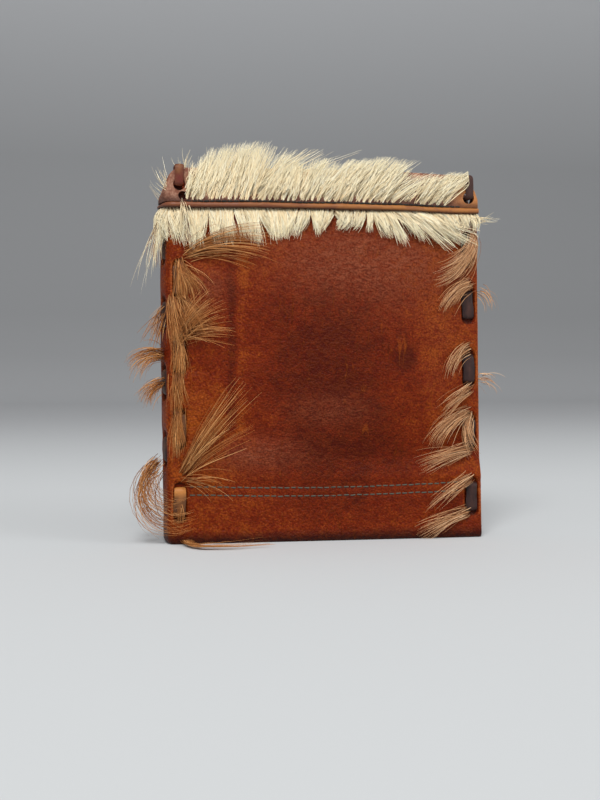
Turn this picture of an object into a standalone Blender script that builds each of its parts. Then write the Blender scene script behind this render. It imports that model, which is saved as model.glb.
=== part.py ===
"""Laced leather bifold wallet with a fur trim along its top.

Metres, +Z up. The wallet is closed and stands on the turned hems of its two halves. The front half faces -Y, the back
half +Y, and the spine -X. Sizes are measured from three planes: the creases between the spine and the halves (run, along
the width), the middle plane between the halves (depth) and the ground (height).
"""

import math

import bmesh
import bpy
from mathutils import Matrix, Vector

# Overall sizes
WIDTH = 0.0995
HEIGHT = 0.1150
TAPER = 0.0020
SPINE_CORNER = 0.004
FREE_CORNER = 0.009

# Sheets and the small gaps between pieces that lie on each other
LEATHER = 0.0016
PANEL_LEATHER = 0.0012
POCKET_LEATHER = 0.0008
HIDE = 0.0011
SEAT_GAP = 0.0003
FACET_GAP = 0.0003
LACE_GAP = 0.0002

# Depths from the middle plane
MIDDLE_GAP = 0.0004
PANEL_IN = MIDDLE_GAP + 2 * (POCKET_LEATHER + SEAT_GAP)
PANEL_OUT = PANEL_IN + PANEL_LEATHER
HEM_IN = PANEL_OUT + SEAT_GAP
FOLD_BORE = 0.0002
FOLD_RADIUS = LEATHER + FOLD_BORE
CREASE_DEPTH = HEM_IN + 2 * FOLD_RADIUS
EDGE_SLACK = 0.0003
FREE_DEPTH = PANEL_OUT + SEAT_GAP + LEATHER + EDGE_SLACK
CROWN_DEPTH = 0.0108

# The pillow form of a half
HEM_HEIGHT = 0.019
PULL_IN_HEIGHT = 0.008
CROWN_START = 0.0060
CROWN_RUN = 0.024
CROWN_FOOT = 0.017
CROWN_RISE = 0.036
MOUTH_FALL = 0.033
MOUTH_SHARE = 0.86
FLAT_ANGLE = math.radians(67.5)

# Spine
SPINE_BULGE_FOOT = 0.0015
SPINE_BULGE = 0.0022
SPINE_BULGE_TOP = 0.0012
SPINE_BULGE_HEIGHT = 0.070
SPINE_DIP = 0.0048
CREASE_CLEARANCE = 0.00018
MITRE_SLOPE = 0.5

# Inner panels and card pockets
PANEL_START = 0.0075
PANEL_FOOT = 0.0022
POCKET_SIDE = 0.0085
POCKET_FOOT = 0.0045
POCKET_TOPS = (0.074, 0.052)
POCKET_DIP = 0.004
POCKET_DIP_SHARE = 0.62

# Lacing
LACE_WIDTH = 0.0036
LACE_THICKNESS = 0.0009
LACE_BEND = 0.0010
BEND_SHARE = 0.47
LACE_HOLE = 0.0040
HOLE_SIDES = 10
GROOVE_MARGIN = 0.00015
LACE_RECESS = LACE_THICKNESS + LACE_GAP
LACE_INSET = 0.0032
LACE_TAIL = 0.0032
TOP_HOLE_DROP = 0.0050
TOP_TAIL = 0.0022
STITCH = 0.0126
FREE_STITCH_FOOT = 0.0068
FREE_LONG_STITCHES = 4
FREE_SHORT_DROP = 0.0172
FREE_SHORT_STITCH = 0.0108
FREE_SHORT_GAP = 0.0060
CREASE_STITCH_FOOT = 0.0066
CREASE_LONG_STITCHES = 4
CREASE_SHORT_DROP = 0.0092
CREASE_SHORT_STITCH = 0.0086
CREASE_SHORT_GAP = 0.0072
SPINE_LACE_DEPTH = 0.0031
SPINE_STITCH_FOOT = 0.0235
SPINE_STITCH = 0.0113
SPINE_STITCHES = 4
SPINE_STITCH_DROP = 0.0066

# Hide band, piping and fur
PIPING_DROP = 0.0112
PIPING_RADIUS = 0.0008
FRINGE_ROOT = 0.0016
FRINGE_LOCK = 0.0016
FRINGE_SPINE_LENGTH = 0.0091
FRINGE_MIDDLE_LENGTH = 0.0053
FRINGE_SWEEP_LENGTH = 0.0117
FRINGE_FREE_LENGTH = 0.0082
FRINGE_SPINE_RUN = 0.036
FRINGE_SWEEP_START = 0.034
FRINGE_SWEEP_END = 0.010
FRINGE_CHANGE = 0.010
FUR_START = 0.0065
FUR_MARGIN = 0.0055
FUR_ROOT = 0.0018
FUR_LOCK = 0.0022
FUR_FOOT_GAP = 0.0004
FUR_LEAN = 0.45
FUR_LEAN_END = 0.012
FUR_BARE_HEIGHT = 0.0035
FUR_TUFT_HEIGHT = 0.0070
FUR_TUFT_END = 0.024
FUR_RIDGE_HEIGHT = 0.0105
FUR_RIDGE_MARGIN = 0.039
FUR_CLUMP_HEIGHT = 0.0070
FUR_CLUMP_START = 0.0255
FUR_CLUMP_END = 0.0155
FUR_CHANGE = 0.011
TIP_THINNING = 0.7
BULK_END = 0.75
LOCK_NOTCH = 0.0018
FUR_LOCKS = 15
FRINGE_LOCKS = 17
SPINE_FRINGE_LOCKS = 3

PIPING_HEIGHT = HEIGHT - PIPING_DROP
BAND_FOOT = PIPING_HEIGHT + PIPING_RADIUS + LACE_GAP
FRINGE_TOP = PIPING_HEIGHT - PIPING_RADIUS - LACE_GAP - FACET_GAP
SPINE_REACH = SPINE_BULGE + SEAT_GAP + FRINGE_ROOT + FRINGE_LOCK
ORIGIN = Vector(((SPINE_REACH - WIDTH) / 2, 0.0, 0.0))

COVER_BROWN = (0.30, 0.085, 0.028)
INNER_BROWN = (0.20, 0.070, 0.030)
LACE_GOLD = (0.24, 0.10, 0.025)
LACE_DARK = (0.075, 0.028, 0.026)
HIDE_PINK = (0.38, 0.17, 0.11)
PIPING_TAN = (0.46, 0.18, 0.075)
FUR_CREAM = (0.80, 0.66, 0.42)


def smooth(share):
    share = min(max(share, 0.0), 1.0)
    return share * share * (3.0 - 2.0 * share)


def spaced(start, end, steps):
    return [start + (end - start) * step / steps for step in range(steps + 1)]


def corner_drop(inward, radius):
    """How far a rounded corner lies below the straight edge, at this distance from the side."""
    run = min(max(radius - inward, 0.0), 0.98 * radius)
    return radius - math.sqrt(radius * radius - run * run)


def top_height(run):
    """Height of a half's top edge, with its two rounded corners."""
    return HEIGHT - corner_drop(run, SPINE_CORNER) - corner_drop(WIDTH - run, FREE_CORNER)


def half_point(side, run, depth, height):
    """A point of a half. The half narrows from its foot to its top, by the taper at the free edge."""
    return Vector((run * (1.0 - TAPER / WIDTH * height / HEIGHT), side * depth, height))


def width_stations(first):
    """Where a sheet across a half has its columns: close together in the two rounded corners."""
    corner = [WIDTH - share * FREE_CORNER for share in (1.0, 0.69, 0.40, 0.18, 0.04, 0.0)]
    step = (WIDTH - FREE_CORNER - CROWN_START) / 10
    return [first, 0.4 * SPINE_CORNER, SPINE_CORNER] + spaced(CROWN_START, WIDTH - FREE_CORNER - step, 9) + corner


def cover_depth(run, height):
    """Depth of a half's outer face: flat over the hem, drawn in at the free edge, crowned in the middle."""
    above_hem = smooth((height - HEM_HEIGHT) / PULL_IN_HEIGHT)
    towards_free = smooth((run - WIDTH / 4) / (WIDTH / 2))
    edge = CREASE_DEPTH - (CREASE_DEPTH - FREE_DEPTH) * above_hem * towards_free
    across = smooth((run - CROWN_START) / CROWN_RUN) * smooth((WIDTH - run - CROWN_START) / CROWN_RUN)
    mouth = 1.0 - (1.0 - MOUTH_SHARE) * smooth((height + MOUTH_FALL - HEIGHT) / MOUTH_FALL)
    crown = smooth((height - CROWN_FOOT) / CROWN_RISE) * mouth * across
    return edge + (CROWN_DEPTH - edge) * crown


def spine_bulge(height):
    """How far the spine's outer face stands out of the plane of the two creases, at its middle."""
    if height < SPINE_BULGE_HEIGHT:
        rise = smooth(height / SPINE_BULGE_HEIGHT)
        return SPINE_BULGE_FOOT + (SPINE_BULGE - SPINE_BULGE_FOOT) * rise
    fall = smooth((height - FRINGE_TOP) / (HEIGHT - FRINGE_TOP))
    return SPINE_BULGE + (SPINE_BULGE_TOP - SPINE_BULGE) * fall


def spine_top(depth):
    """Height of the spine's top edge, which dips between the two corners."""
    return HEIGHT - corner_drop(0.0, SPINE_CORNER) - SPINE_DIP * (1.0 - (depth / CREASE_DEPTH) ** 2)


def spine_face(depth, height):
    """The spine's outer face as a run, which is negative outside the creases."""
    return -spine_bulge(height) * (1.0 - (depth / CREASE_DEPTH) ** 2)


def draped_grid(name, across, along, point, flip=False):
    """A grid primitive laid over a form: point(a, b) places the corner for each value of across and along."""
    mesh = bpy.data.meshes.new(name)
    net = bmesh.new()
    steps_a = len(across) - 1
    steps_b = len(along) - 1
    bmesh.ops.create_grid(net, x_segments=steps_a, y_segments=steps_b, size=1.0)
    for vertex in net.verts:
        a = round((vertex.co.x + 1.0) / 2.0 * steps_a)
        b = round((vertex.co.y + 1.0) / 2.0 * steps_b)
        vertex.co = point(across[a], along[b])
    if flip:
        bmesh.ops.reverse_faces(net, faces=net.faces)
    net.to_mesh(mesh)
    net.free()
    return mesh


def draped_pad(name, across, along, inner, outer):
    """A closed pad on a form: a grid primitive and its extruded copy, placed by inner(a, b) and outer(a, b)."""
    mesh = bpy.data.meshes.new(name)
    net = bmesh.new()
    steps_a = len(across) - 1
    steps_b = len(along) - 1
    bmesh.ops.create_grid(net, x_segments=steps_a, y_segments=steps_b, size=1.0)
    made = bmesh.ops.extrude_face_region(net, geom=net.faces[:])
    lifted = {item for item in made["geom"] if isinstance(item, bmesh.types.BMVert)}
    for vertex in net.verts:
        a = across[round((vertex.co.x + 1.0) / 2.0 * steps_a)]
        b = along[round((vertex.co.y + 1.0) / 2.0 * steps_b)]
        vertex.co = outer(a, b) if vertex in lifted else inner(a, b)
    bmesh.ops.recalc_face_normals(net, faces=net.faces)
    net.to_mesh(mesh)
    net.free()
    return mesh


def add_object(name, mesh, collection, pivot=None):
    """Puts a mesh made from the three planes in its place, hung on the empty that it turns about."""
    piece = bpy.data.objects.new(name, mesh)
    collection.objects.link(piece)
    piece.location = ORIGIN
    if pivot:
        piece.parent = pivot
        piece.location = ORIGIN - pivot.location
    return piece


def finish_piece(piece, colour, roughness):
    material = bpy.data.materials.new(piece.name)
    material.use_nodes = True
    shader = material.node_tree.nodes["Principled BSDF"]
    shader.inputs["Base Color"].default_value = (*colour, 1.0)
    shader.inputs["Roughness"].default_value = roughness
    shader.inputs["Metallic"].default_value = 0.0
    piece.data.materials.append(material)
    piece.data.shade_smooth()
    piece.data.set_sharp_from_angle(angle=math.radians(40.0))


def thicken(piece, thickness, offset=-1.0):
    shell = piece.modifiers.new("Thickness", "SOLIDIFY")
    shell.thickness = thickness
    shell.offset = offset
    shell.use_even_offset = True
    return shell


def cut(piece, cutter):
    """Takes the cutter out of the piece. The EXACT solver leaves open edges where the rows of lace holes meet the
    grooves, and the MANIFOLD one doesn't."""
    boolean = piece.modifiers.new(cutter.name, "BOOLEAN")
    boolean.operation = "DIFFERENCE"
    boolean.solver = "MANIFOLD"
    boolean.object = cutter


def add_cutter(name, net, cutters):
    mesh = bpy.data.meshes.new(name)
    net.to_mesh(mesh)
    net.free()
    cutter = add_object(name, mesh, cutters)
    cutter.hide_render = True
    cutter.display_type = "WIRE"
    return cutter


def add_slot(net, place, low, high, radius, depth_in, depth_out):
    """A round-ended prism: low and high are its ends up the lace line, and depths are along the place's Y axis."""
    made = bmesh.ops.create_cone(
        net,
        cap_ends=True,
        segments=HOLE_SIDES,
        radius1=radius,
        radius2=radius,
        depth=depth_out - depth_in,
        matrix=Matrix.Rotation(math.radians(90.0), 4, "X") @ Matrix.Rotation(math.pi / HOLE_SIDES, 4, "Z"),
    )
    half_run = (high - low) / 2 - radius
    for vertex in made["verts"]:
        up = half_run if vertex.co.z > 0 else -half_run
        vertex.co += Vector((0.0, (depth_in + depth_out) / 2, (low + high) / 2 + up))
    bmesh.ops.transform(net, matrix=place, verts=made["verts"])


def side_place(side, run):
    """The frame of a lace line on a half: X along the wallet's width, Y out of the half, Z up the tapered line."""
    foot = half_point(side, run, 0.0, 0.0)
    up = half_point(side, run, 0.0, 1.0) - foot
    return Matrix(((1.0, 0.0, up.x, foot.x), (0.0, side, up.y, foot.y), (0.0, 0.0, up.z, foot.z), (0.0, 0.0, 0.0, 1.0)))


def spine_place(side):
    """The frame of a lace line on the spine, turned to lie along its rounded face."""
    slope = math.atan(2.0 * SPINE_BULGE * SPINE_LACE_DEPTH / CREASE_DEPTH ** 2)
    outward = Vector((-math.cos(slope), side * math.sin(slope), 0.0))
    across = Vector((-outward.y, outward.x, 0.0))
    turned = Matrix((across, outward, Vector((0.0, 0.0, 1.0)))).transposed().to_4x4()
    return Matrix.Translation((0.0, side * SPINE_LACE_DEPTH, 0.0)) @ turned


def even_stitches(foot, count, length, last_top):
    """Stitches of one length, spread evenly from the foot of the lowest to the top of the last, as (low, high)."""
    pitch = (last_top - foot - length) / (count - 1)
    return [(foot + pitch * place, foot + pitch * place + length) for place in range(count)]


def free_stitches():
    short = PIPING_HEIGHT - FREE_SHORT_DROP
    long_ones = even_stitches(FREE_STITCH_FOOT, FREE_LONG_STITCHES, STITCH, short - FREE_SHORT_GAP)
    return long_ones + [(short, short + FREE_SHORT_STITCH)]


def crease_stitches():
    short = PIPING_HEIGHT - CREASE_SHORT_DROP
    long_ones = even_stitches(CREASE_STITCH_FOOT, CREASE_LONG_STITCHES, STITCH, short - CREASE_SHORT_GAP)
    return long_ones + [(short, short + CREASE_SHORT_STITCH)]


def spine_stitches():
    return even_stitches(SPINE_STITCH_FOOT, SPINE_STITCHES, SPINE_STITCH, PIPING_HEIGHT - SPINE_STITCH_DROP)


def add_lace_cutters(name, place, stitches, face, top_hole, cutters):
    """The grooves that the lace lies in, and the punched holes at their ends: face(height) is the leather's depth."""
    grooves = bmesh.new()
    holes = bmesh.new()
    radius = LACE_HOLE / 2
    punched = [top_hole] if top_hole else []
    for low, high in stitches:
        floor = face((low + high) / 2) - LACE_RECESS
        margin = GROOVE_MARGIN
        add_slot(grooves, place, low - margin, high + margin, radius + margin, floor, floor + 4 * LEATHER)
        punched += [low + radius, high - radius]
    for middle in punched:
        add_slot(holes, place, middle - radius, middle + radius, radius, -CREASE_DEPTH / 2, 2 * CREASE_DEPTH)
    for net in (grooves, holes):
        bmesh.ops.recalc_face_normals(net, faces=net.faces)
    return add_cutter(name + "_grooves", grooves, cutters), add_cutter(name + "_holes", holes, cutters)


def rounded(corners):
    """The route with each inner corner bent to the lace's bend."""
    route = [corners[0]]
    for before, corner, after in zip(corners, corners[1:], corners[2:]):
        back, on = before - corner, after - corner
        reach = min(LACE_BEND, BEND_SHARE * back.length, BEND_SHARE * on.length)
        start = corner + back.normalized() * reach
        end = corner + on.normalized() * reach
        for share in (0.0, 0.5, 1.0):
            route.append(start.lerp(corner, share).lerp(corner.lerp(end, share), share))
    return route + [corners[-1]]


def add_lace(name, place, stitches, face, inner, top_route, collection, pivot, colour):
    """A flat lace run in and out along its line. Its route is drawn as (depth, height)."""
    half = LACE_THICKNESS / 2
    corners = [Vector((inner(stitches[0][0]), stitches[0][0] + LACE_HOLE / 2 - LACE_TAIL))]
    for low, high in stitches:
        first, last = low + LACE_HOLE / 2, high - LACE_HOLE / 2
        outer = face((low + high) / 2) - LACE_RECESS + LACE_GAP + half
        step = inner(first) - corners[-1].x
        if abs(step) > LACE_GAP:
            above_hem = HEM_HEIGHT + LACE_THICKNESS
            corners += [Vector((corners[-1].x, above_hem)), Vector((inner(first), above_hem + abs(step)))]
        corners += [Vector((inner(first), first)), Vector((outer, first))]
        corners += [Vector((outer, last)), Vector((inner(last), last))]
    if top_route:
        corners += [Vector(corner) for corner in top_route]
    else:
        corners.append(Vector((inner(last), last + LACE_TAIL)))
    route = rounded(corners)

    def point(across, step):
        return place @ Vector((across, route[step].x, route[step].y))

    edges = (-LACE_WIDTH / 2, LACE_WIDTH / 2)
    lace = add_object(name, draped_grid(name, edges, range(len(route)), point), collection, pivot)
    thicken(lace, LACE_THICKNESS, offset=0.0)
    finish_piece(lace, colour, 0.55)
    return lace


def add_mitre_cutter(name, side, for_spine, cutters):
    """The half-space beyond the slanted cut at a crease, as a box turned to the cut."""
    net = bmesh.new()
    reach = 3 * CREASE_DEPTH
    bmesh.ops.create_cube(net, size=1.0)
    towards = 1.0 if for_spine else -1.0
    bmesh.ops.scale(net, vec=(reach, reach, 2 * HEIGHT), verts=net.verts)
    bmesh.ops.translate(net, vec=(towards * (reach / 2 - CREASE_CLEARANCE / 2), 0.0, HEIGHT / 2), verts=net.verts)
    slant = Matrix.Rotation(side * math.atan(MITRE_SLOPE), 4, "Z")
    bmesh.ops.transform(net, matrix=Matrix.Translation((0.0, side * CREASE_DEPTH, 0.0)) @ slant, verts=net.verts)
    bmesh.ops.recalc_face_normals(net, faces=net.faces)
    return add_cutter(name, net, cutters)


def add_cover(name, side, collection, cutters, pivot, laces):
    """One sheet: the turned hem inside, round the fold it stands on, and up the outer face."""
    runs = [-LEATHER] + width_stations(0.0)
    hem = [("hem", height) for height in (HEM_HEIGHT, FOLD_RADIUS)]
    turn = (math.radians(30.0), FLAT_ANGLE, math.pi - FLAT_ANGLE, math.radians(150.0), math.pi)
    fold = [("fold", angle) for angle in turn]
    pulled = HEM_HEIGHT + PULL_IN_HEIGHT
    mouth = HEIGHT - MOUTH_FALL
    rows = [HEM_HEIGHT, (HEM_HEIGHT + pulled) / 2] + spaced(pulled, CROWN_FOOT + CROWN_RISE, 3)
    rows += spaced(mouth, PIPING_HEIGHT, 2) + [HEIGHT]
    face = [("face", height) for height in rows]

    def point(run, station):
        kind, value = station
        if kind == "hem":
            return half_point(side, run, HEM_IN, value)
        if kind == "fold":
            depth = HEM_IN + FOLD_RADIUS * (1.0 - math.cos(value))
            height = FOLD_RADIUS * (1.0 - min(1.0, math.sin(value) / math.sin(FLAT_ANGLE)))
            return half_point(side, run, depth, height)
        height = value
        if value > PIPING_HEIGHT:
            share = (value - PIPING_HEIGHT) / (HEIGHT - PIPING_HEIGHT)
            height = PIPING_HEIGHT + share * (top_height(run) - PIPING_HEIGHT)
        return half_point(side, run, cover_depth(run, height), height)

    cover = add_object(name, draped_grid(name, runs, hem + fold + face, point, side > 0), collection, pivot)
    thicken(cover, LEATHER)
    cut(cover, add_mitre_cutter(name + "_mitre", side, False, cutters))
    for cutter in laces:
        cut(cover, cutter)
    finish_piece(cover, COVER_BROWN, 0.5)
    return cover


def add_panel(name, side, collection, pivot, holes):
    """The inner panel, laced to the cover at its free edge and held by the hem. Notes go between the two."""
    runs = [PANEL_START] + [run for run in width_stations(0.0) if run >= WIDTH - FREE_CORNER]

    def point(run, end):
        height = PANEL_FOOT if end == 0 else HEIGHT - corner_drop(WIDTH - run, FREE_CORNER)
        return half_point(side, run, PANEL_OUT, height)

    panel = add_object(name, draped_grid(name, runs, (0, 1), point, side > 0), collection, pivot)
    thicken(panel, PANEL_LEATHER)
    cut(panel, holes)
    finish_piece(panel, INNER_BROWN, 0.6)
    return panel


def add_pocket(name, side, leaf, collection, pivot):
    """A card pocket leaf, its mouth dipped in the middle for a thumb."""
    runs = spaced(POCKET_SIDE, WIDTH - POCKET_SIDE, 10)
    depth = PANEL_IN - leaf * POCKET_LEATHER - (leaf + 1) * SEAT_GAP

    def point(run, end):
        middle = (run - WIDTH / 2) / (WIDTH / 2 - POCKET_SIDE)
        dip = POCKET_DIP * (1.0 - smooth(abs(middle) / POCKET_DIP_SHARE))
        return half_point(side, run, depth, POCKET_TOPS[leaf] - dip if end else POCKET_FOOT)

    pocket = add_object(name, draped_grid(name, runs, (0, 1), point, side > 0), collection, pivot)
    thicken(pocket, POCKET_LEATHER)
    finish_piece(pocket, INNER_BROWN, 0.6)
    return pocket


def add_band(name, side, collection, pivot, holes):
    """The hide band along the top, over the cover's outer face."""

    def point(run, share):
        height = BAND_FOOT + share * (top_height(run) - BAND_FOOT)
        return half_point(side, run, cover_depth(run, height) + SEAT_GAP, height)

    runs = width_stations(CREASE_CLEARANCE)
    band = add_object(name, draped_grid(name, runs, (0.0, 0.5, 1.0), point, side > 0), collection, pivot)
    thicken(band, HIDE, offset=1.0)
    for cutter in holes:
        cut(band, cutter)
    finish_piece(band, HIDE_PINK, 0.6)
    return band


def add_piping(name, route, collection, pivot):
    """A rolled leather cord on a curve, its caps welded to it."""
    curve = bpy.data.curves.new(name, "CURVE")
    curve.dimensions = "3D"
    curve.bevel_depth = PIPING_RADIUS
    curve.bevel_resolution = 1
    curve.use_fill_caps = True
    spline = curve.splines.new("POLY")
    spline.points.add(len(route) - 1)
    for point, place in zip(spline.points, route):
        point.co = (*place, 1.0)
    guide = bpy.data.objects.new(name + "_route", curve)
    bpy.context.scene.collection.objects.link(guide)
    bpy.context.view_layer.update()
    mesh = bpy.data.meshes.new_from_object(guide.evaluated_get(bpy.context.evaluated_depsgraph_get()))
    bpy.data.objects.remove(guide)
    net = bmesh.new()
    net.from_mesh(mesh)
    bmesh.ops.remove_doubles(net, verts=net.verts, dist=1e-6)
    net.to_mesh(mesh)
    net.free()
    piping = add_object(name, mesh, collection, pivot)
    finish_piece(piping, PIPING_TAN, 0.5)
    return piping


def lock_wave(position, count):
    """A row of locks: 1 at the middle of each and 0 in the partings between them."""
    return abs(math.sin(math.pi * count * position))


def rise(run, start):
    """0 before the start, and 1 a little way past it."""
    return smooth((run - start) / FUR_CHANGE)


def fur_height(run):
    """Height of the standing fur's tips: a tall tuft near the spine, then a long low run to a bare patch and a clump."""
    tuft = FUR_TUFT_HEIGHT * rise(run, FUR_START) * (1.0 - rise(run, FUR_TUFT_END))
    ridge = FUR_RIDGE_HEIGHT * rise(run, FUR_START - FUR_CHANGE / 2) * (1.0 - rise(run, WIDTH - FUR_RIDGE_MARGIN))
    clump = FUR_CLUMP_HEIGHT * rise(run, WIDTH - FUR_CLUMP_START) * (1.0 - rise(run, WIDTH - FUR_CLUMP_END))
    return BAND_FOOT + FUR_BARE_HEIGHT + tuft + ridge + clump


def add_fur(name, side, collection, pivot):
    """The standing fur: locks that lean towards the free edge and thin out to their tips."""
    columns = spaced(0.0, 1.0, 2 * FUR_LOCKS)
    foot = BAND_FOOT + FUR_FOOT_GAP
    end = WIDTH - FUR_MARGIN

    def place(share, up, thickness):
        run = FUR_START + share * (end - FUR_START)
        tip = fur_height(run) - LOCK_NOTCH * (1.0 - lock_wave(share, FUR_LOCKS))
        height = foot + up * (tip - foot)
        run += FUR_LEAN * (height - foot) * smooth((end - run) / FUR_LEAN_END)
        seat = cover_depth(run, min(height, HEIGHT)) + HIDE + 2 * SEAT_GAP + FACET_GAP
        return half_point(side, run, seat + thickness, height)

    def outer(share, up):
        bulk = FUR_LOCK * lock_wave(share, FUR_LOCKS) * math.sin(math.pi * min(up, BULK_END))
        return place(share, up, FUR_ROOT * (1.0 - TIP_THINNING * up) + bulk)

    grid = draped_pad(name, columns, (0.0, 0.4, 0.75, 1.0), lambda share, up: place(share, up, 0.0), outer)
    fur = add_object(name, grid, collection, pivot)
    finish_piece(fur, FUR_CREAM, 0.9)
    return fur


def fringe_length(run):
    """How far the fringe hangs: long near the spine, short in the middle and longer again near the free edge."""
    near = (FRINGE_SPINE_LENGTH - FRINGE_MIDDLE_LENGTH) * (1.0 - smooth((run - FRINGE_SPINE_RUN) / FRINGE_CHANGE))
    sweep = smooth((run + FRINGE_SWEEP_START - WIDTH) / FRINGE_CHANGE)
    short = smooth((run + FRINGE_SWEEP_END - WIDTH) / FRINGE_CHANGE)
    far = sweep * (FRINGE_SWEEP_LENGTH - FRINGE_MIDDLE_LENGTH - short * (FRINGE_SWEEP_LENGTH - FRINGE_FREE_LENGTH))
    return FRINGE_MIDDLE_LENGTH + near + far


def add_fringe(name, columns, seat, collection, pivot):
    """A fringe that hangs below the piping, in locks with ragged ends. columns are (place along the band, length,
    lock wave), and seat(place, height, thickness) is a point that far out from the leather."""
    ends = (columns[0], columns[-1])

    def height_at(column, down):
        place, length, wave = column
        return FRINGE_TOP - down * (length - LOCK_NOTCH * (1.0 - wave))

    def inner(column, down):
        return seat(column[0], height_at(column, down), SEAT_GAP + FACET_GAP)

    def outer(column, down):
        bulk = 0.0 if column in ends else FRINGE_LOCK * column[2] * math.sin(math.pi * min(down, BULK_END))
        thickness = FRINGE_ROOT * (1.0 - TIP_THINNING * down) + bulk
        return seat(column[0], height_at(column, down), SEAT_GAP + FACET_GAP + thickness)

    fringe = add_object(name, draped_pad(name, columns, (0.0, 0.45, 0.8, 1.0), inner, outer), collection, pivot)
    finish_piece(fringe, FUR_CREAM, 0.9)
    return fringe


def fringe_columns(start, end, locks, length):
    shares = spaced(0.0, 1.0, 2 * locks)
    places = [start + share * (end - start) for share in shares]
    return [(place, length(place), lock_wave(share, locks)) for place, share in zip(places, shares)]


def add_half(prefix, side, collection, cutters, pivot):
    """All the pieces of one half. Side is -1 for the front and 1 for the back."""
    free_run = WIDTH - LACE_INSET
    top_free = top_height(free_run) - TOP_HOLE_DROP
    top_crease = top_height(LACE_INSET) - TOP_HOLE_DROP
    free_place = side_place(side, free_run)
    crease_place = side_place(side, LACE_INSET)

    def free_face(height):
        return cover_depth(free_run, height)

    def crease_face(height):
        return cover_depth(LACE_INSET, height)

    free_cuts = add_lace_cutters(prefix + "_free", free_place, free_stitches(), free_face, top_free, cutters)
    crease_cuts = add_lace_cutters(
        prefix + "_crease", crease_place, crease_stitches(), crease_face, top_crease, cutters
    )
    add_cover(prefix + "_cover", side, collection, cutters, pivot, free_cuts + crease_cuts)
    add_panel(prefix + "_note_panel", side, collection, pivot, free_cuts[1])
    for leaf in range(len(POCKET_TOPS)):
        add_pocket(f"{prefix}_card_pocket_{leaf + 1}", side, leaf, collection, pivot)
    add_band(prefix + "_fur_band", side, collection, pivot, (free_cuts[1], crease_cuts[1]))
    route = [
        half_point(side, run, cover_depth(run, PIPING_HEIGHT) + SEAT_GAP + PIPING_RADIUS, PIPING_HEIGHT)
        for run in [CREASE_CLEARANCE] + spaced(CROWN_START, WIDTH - CROWN_START, 10) + [WIDTH]
    ]
    add_piping(prefix + "_piping", route, collection, pivot)
    columns = fringe_columns(CREASE_CLEARANCE, WIDTH, FRINGE_LOCKS, fringe_length)

    def fringe_seat(run, height, thickness):
        return half_point(side, run, cover_depth(run, height) + thickness, height)

    add_fringe(prefix + "_fur_fringe", columns, fringe_seat, collection, pivot)
    add_fur(prefix + "_fur_top", side, collection, pivot)

    half = LACE_THICKNESS / 2
    over = LACE_GAP + half

    def top_route(run, hole, inner):
        outer = cover_depth(run, hole) + SEAT_GAP + HIDE + over
        edge = max(top_height(run - LACE_WIDTH / 2), top_height(run + LACE_WIDTH / 2))
        corners = [(inner, hole), (outer, hole), (outer, edge + over), (inner, edge + over)]
        return corners + [(inner, edge - TOP_TAIL)]

    panel_inner = PANEL_IN - over

    def behind_cover(height):
        return (HEM_IN if height < HEM_HEIGHT else CREASE_DEPTH - LEATHER) - over

    add_lace(
        prefix + "_lace_free_edge",
        free_place,
        free_stitches(),
        free_face,
        lambda height: panel_inner,
        top_route(free_run, top_free, panel_inner),
        collection,
        pivot,
        LACE_DARK,
    )
    add_lace(
        prefix + "_lace_spine_side",
        crease_place,
        crease_stitches(),
        crease_face,
        behind_cover,
        top_route(LACE_INSET, top_crease, behind_cover(top_crease)),
        collection,
        pivot,
        LACE_GOLD,
    )


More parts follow.
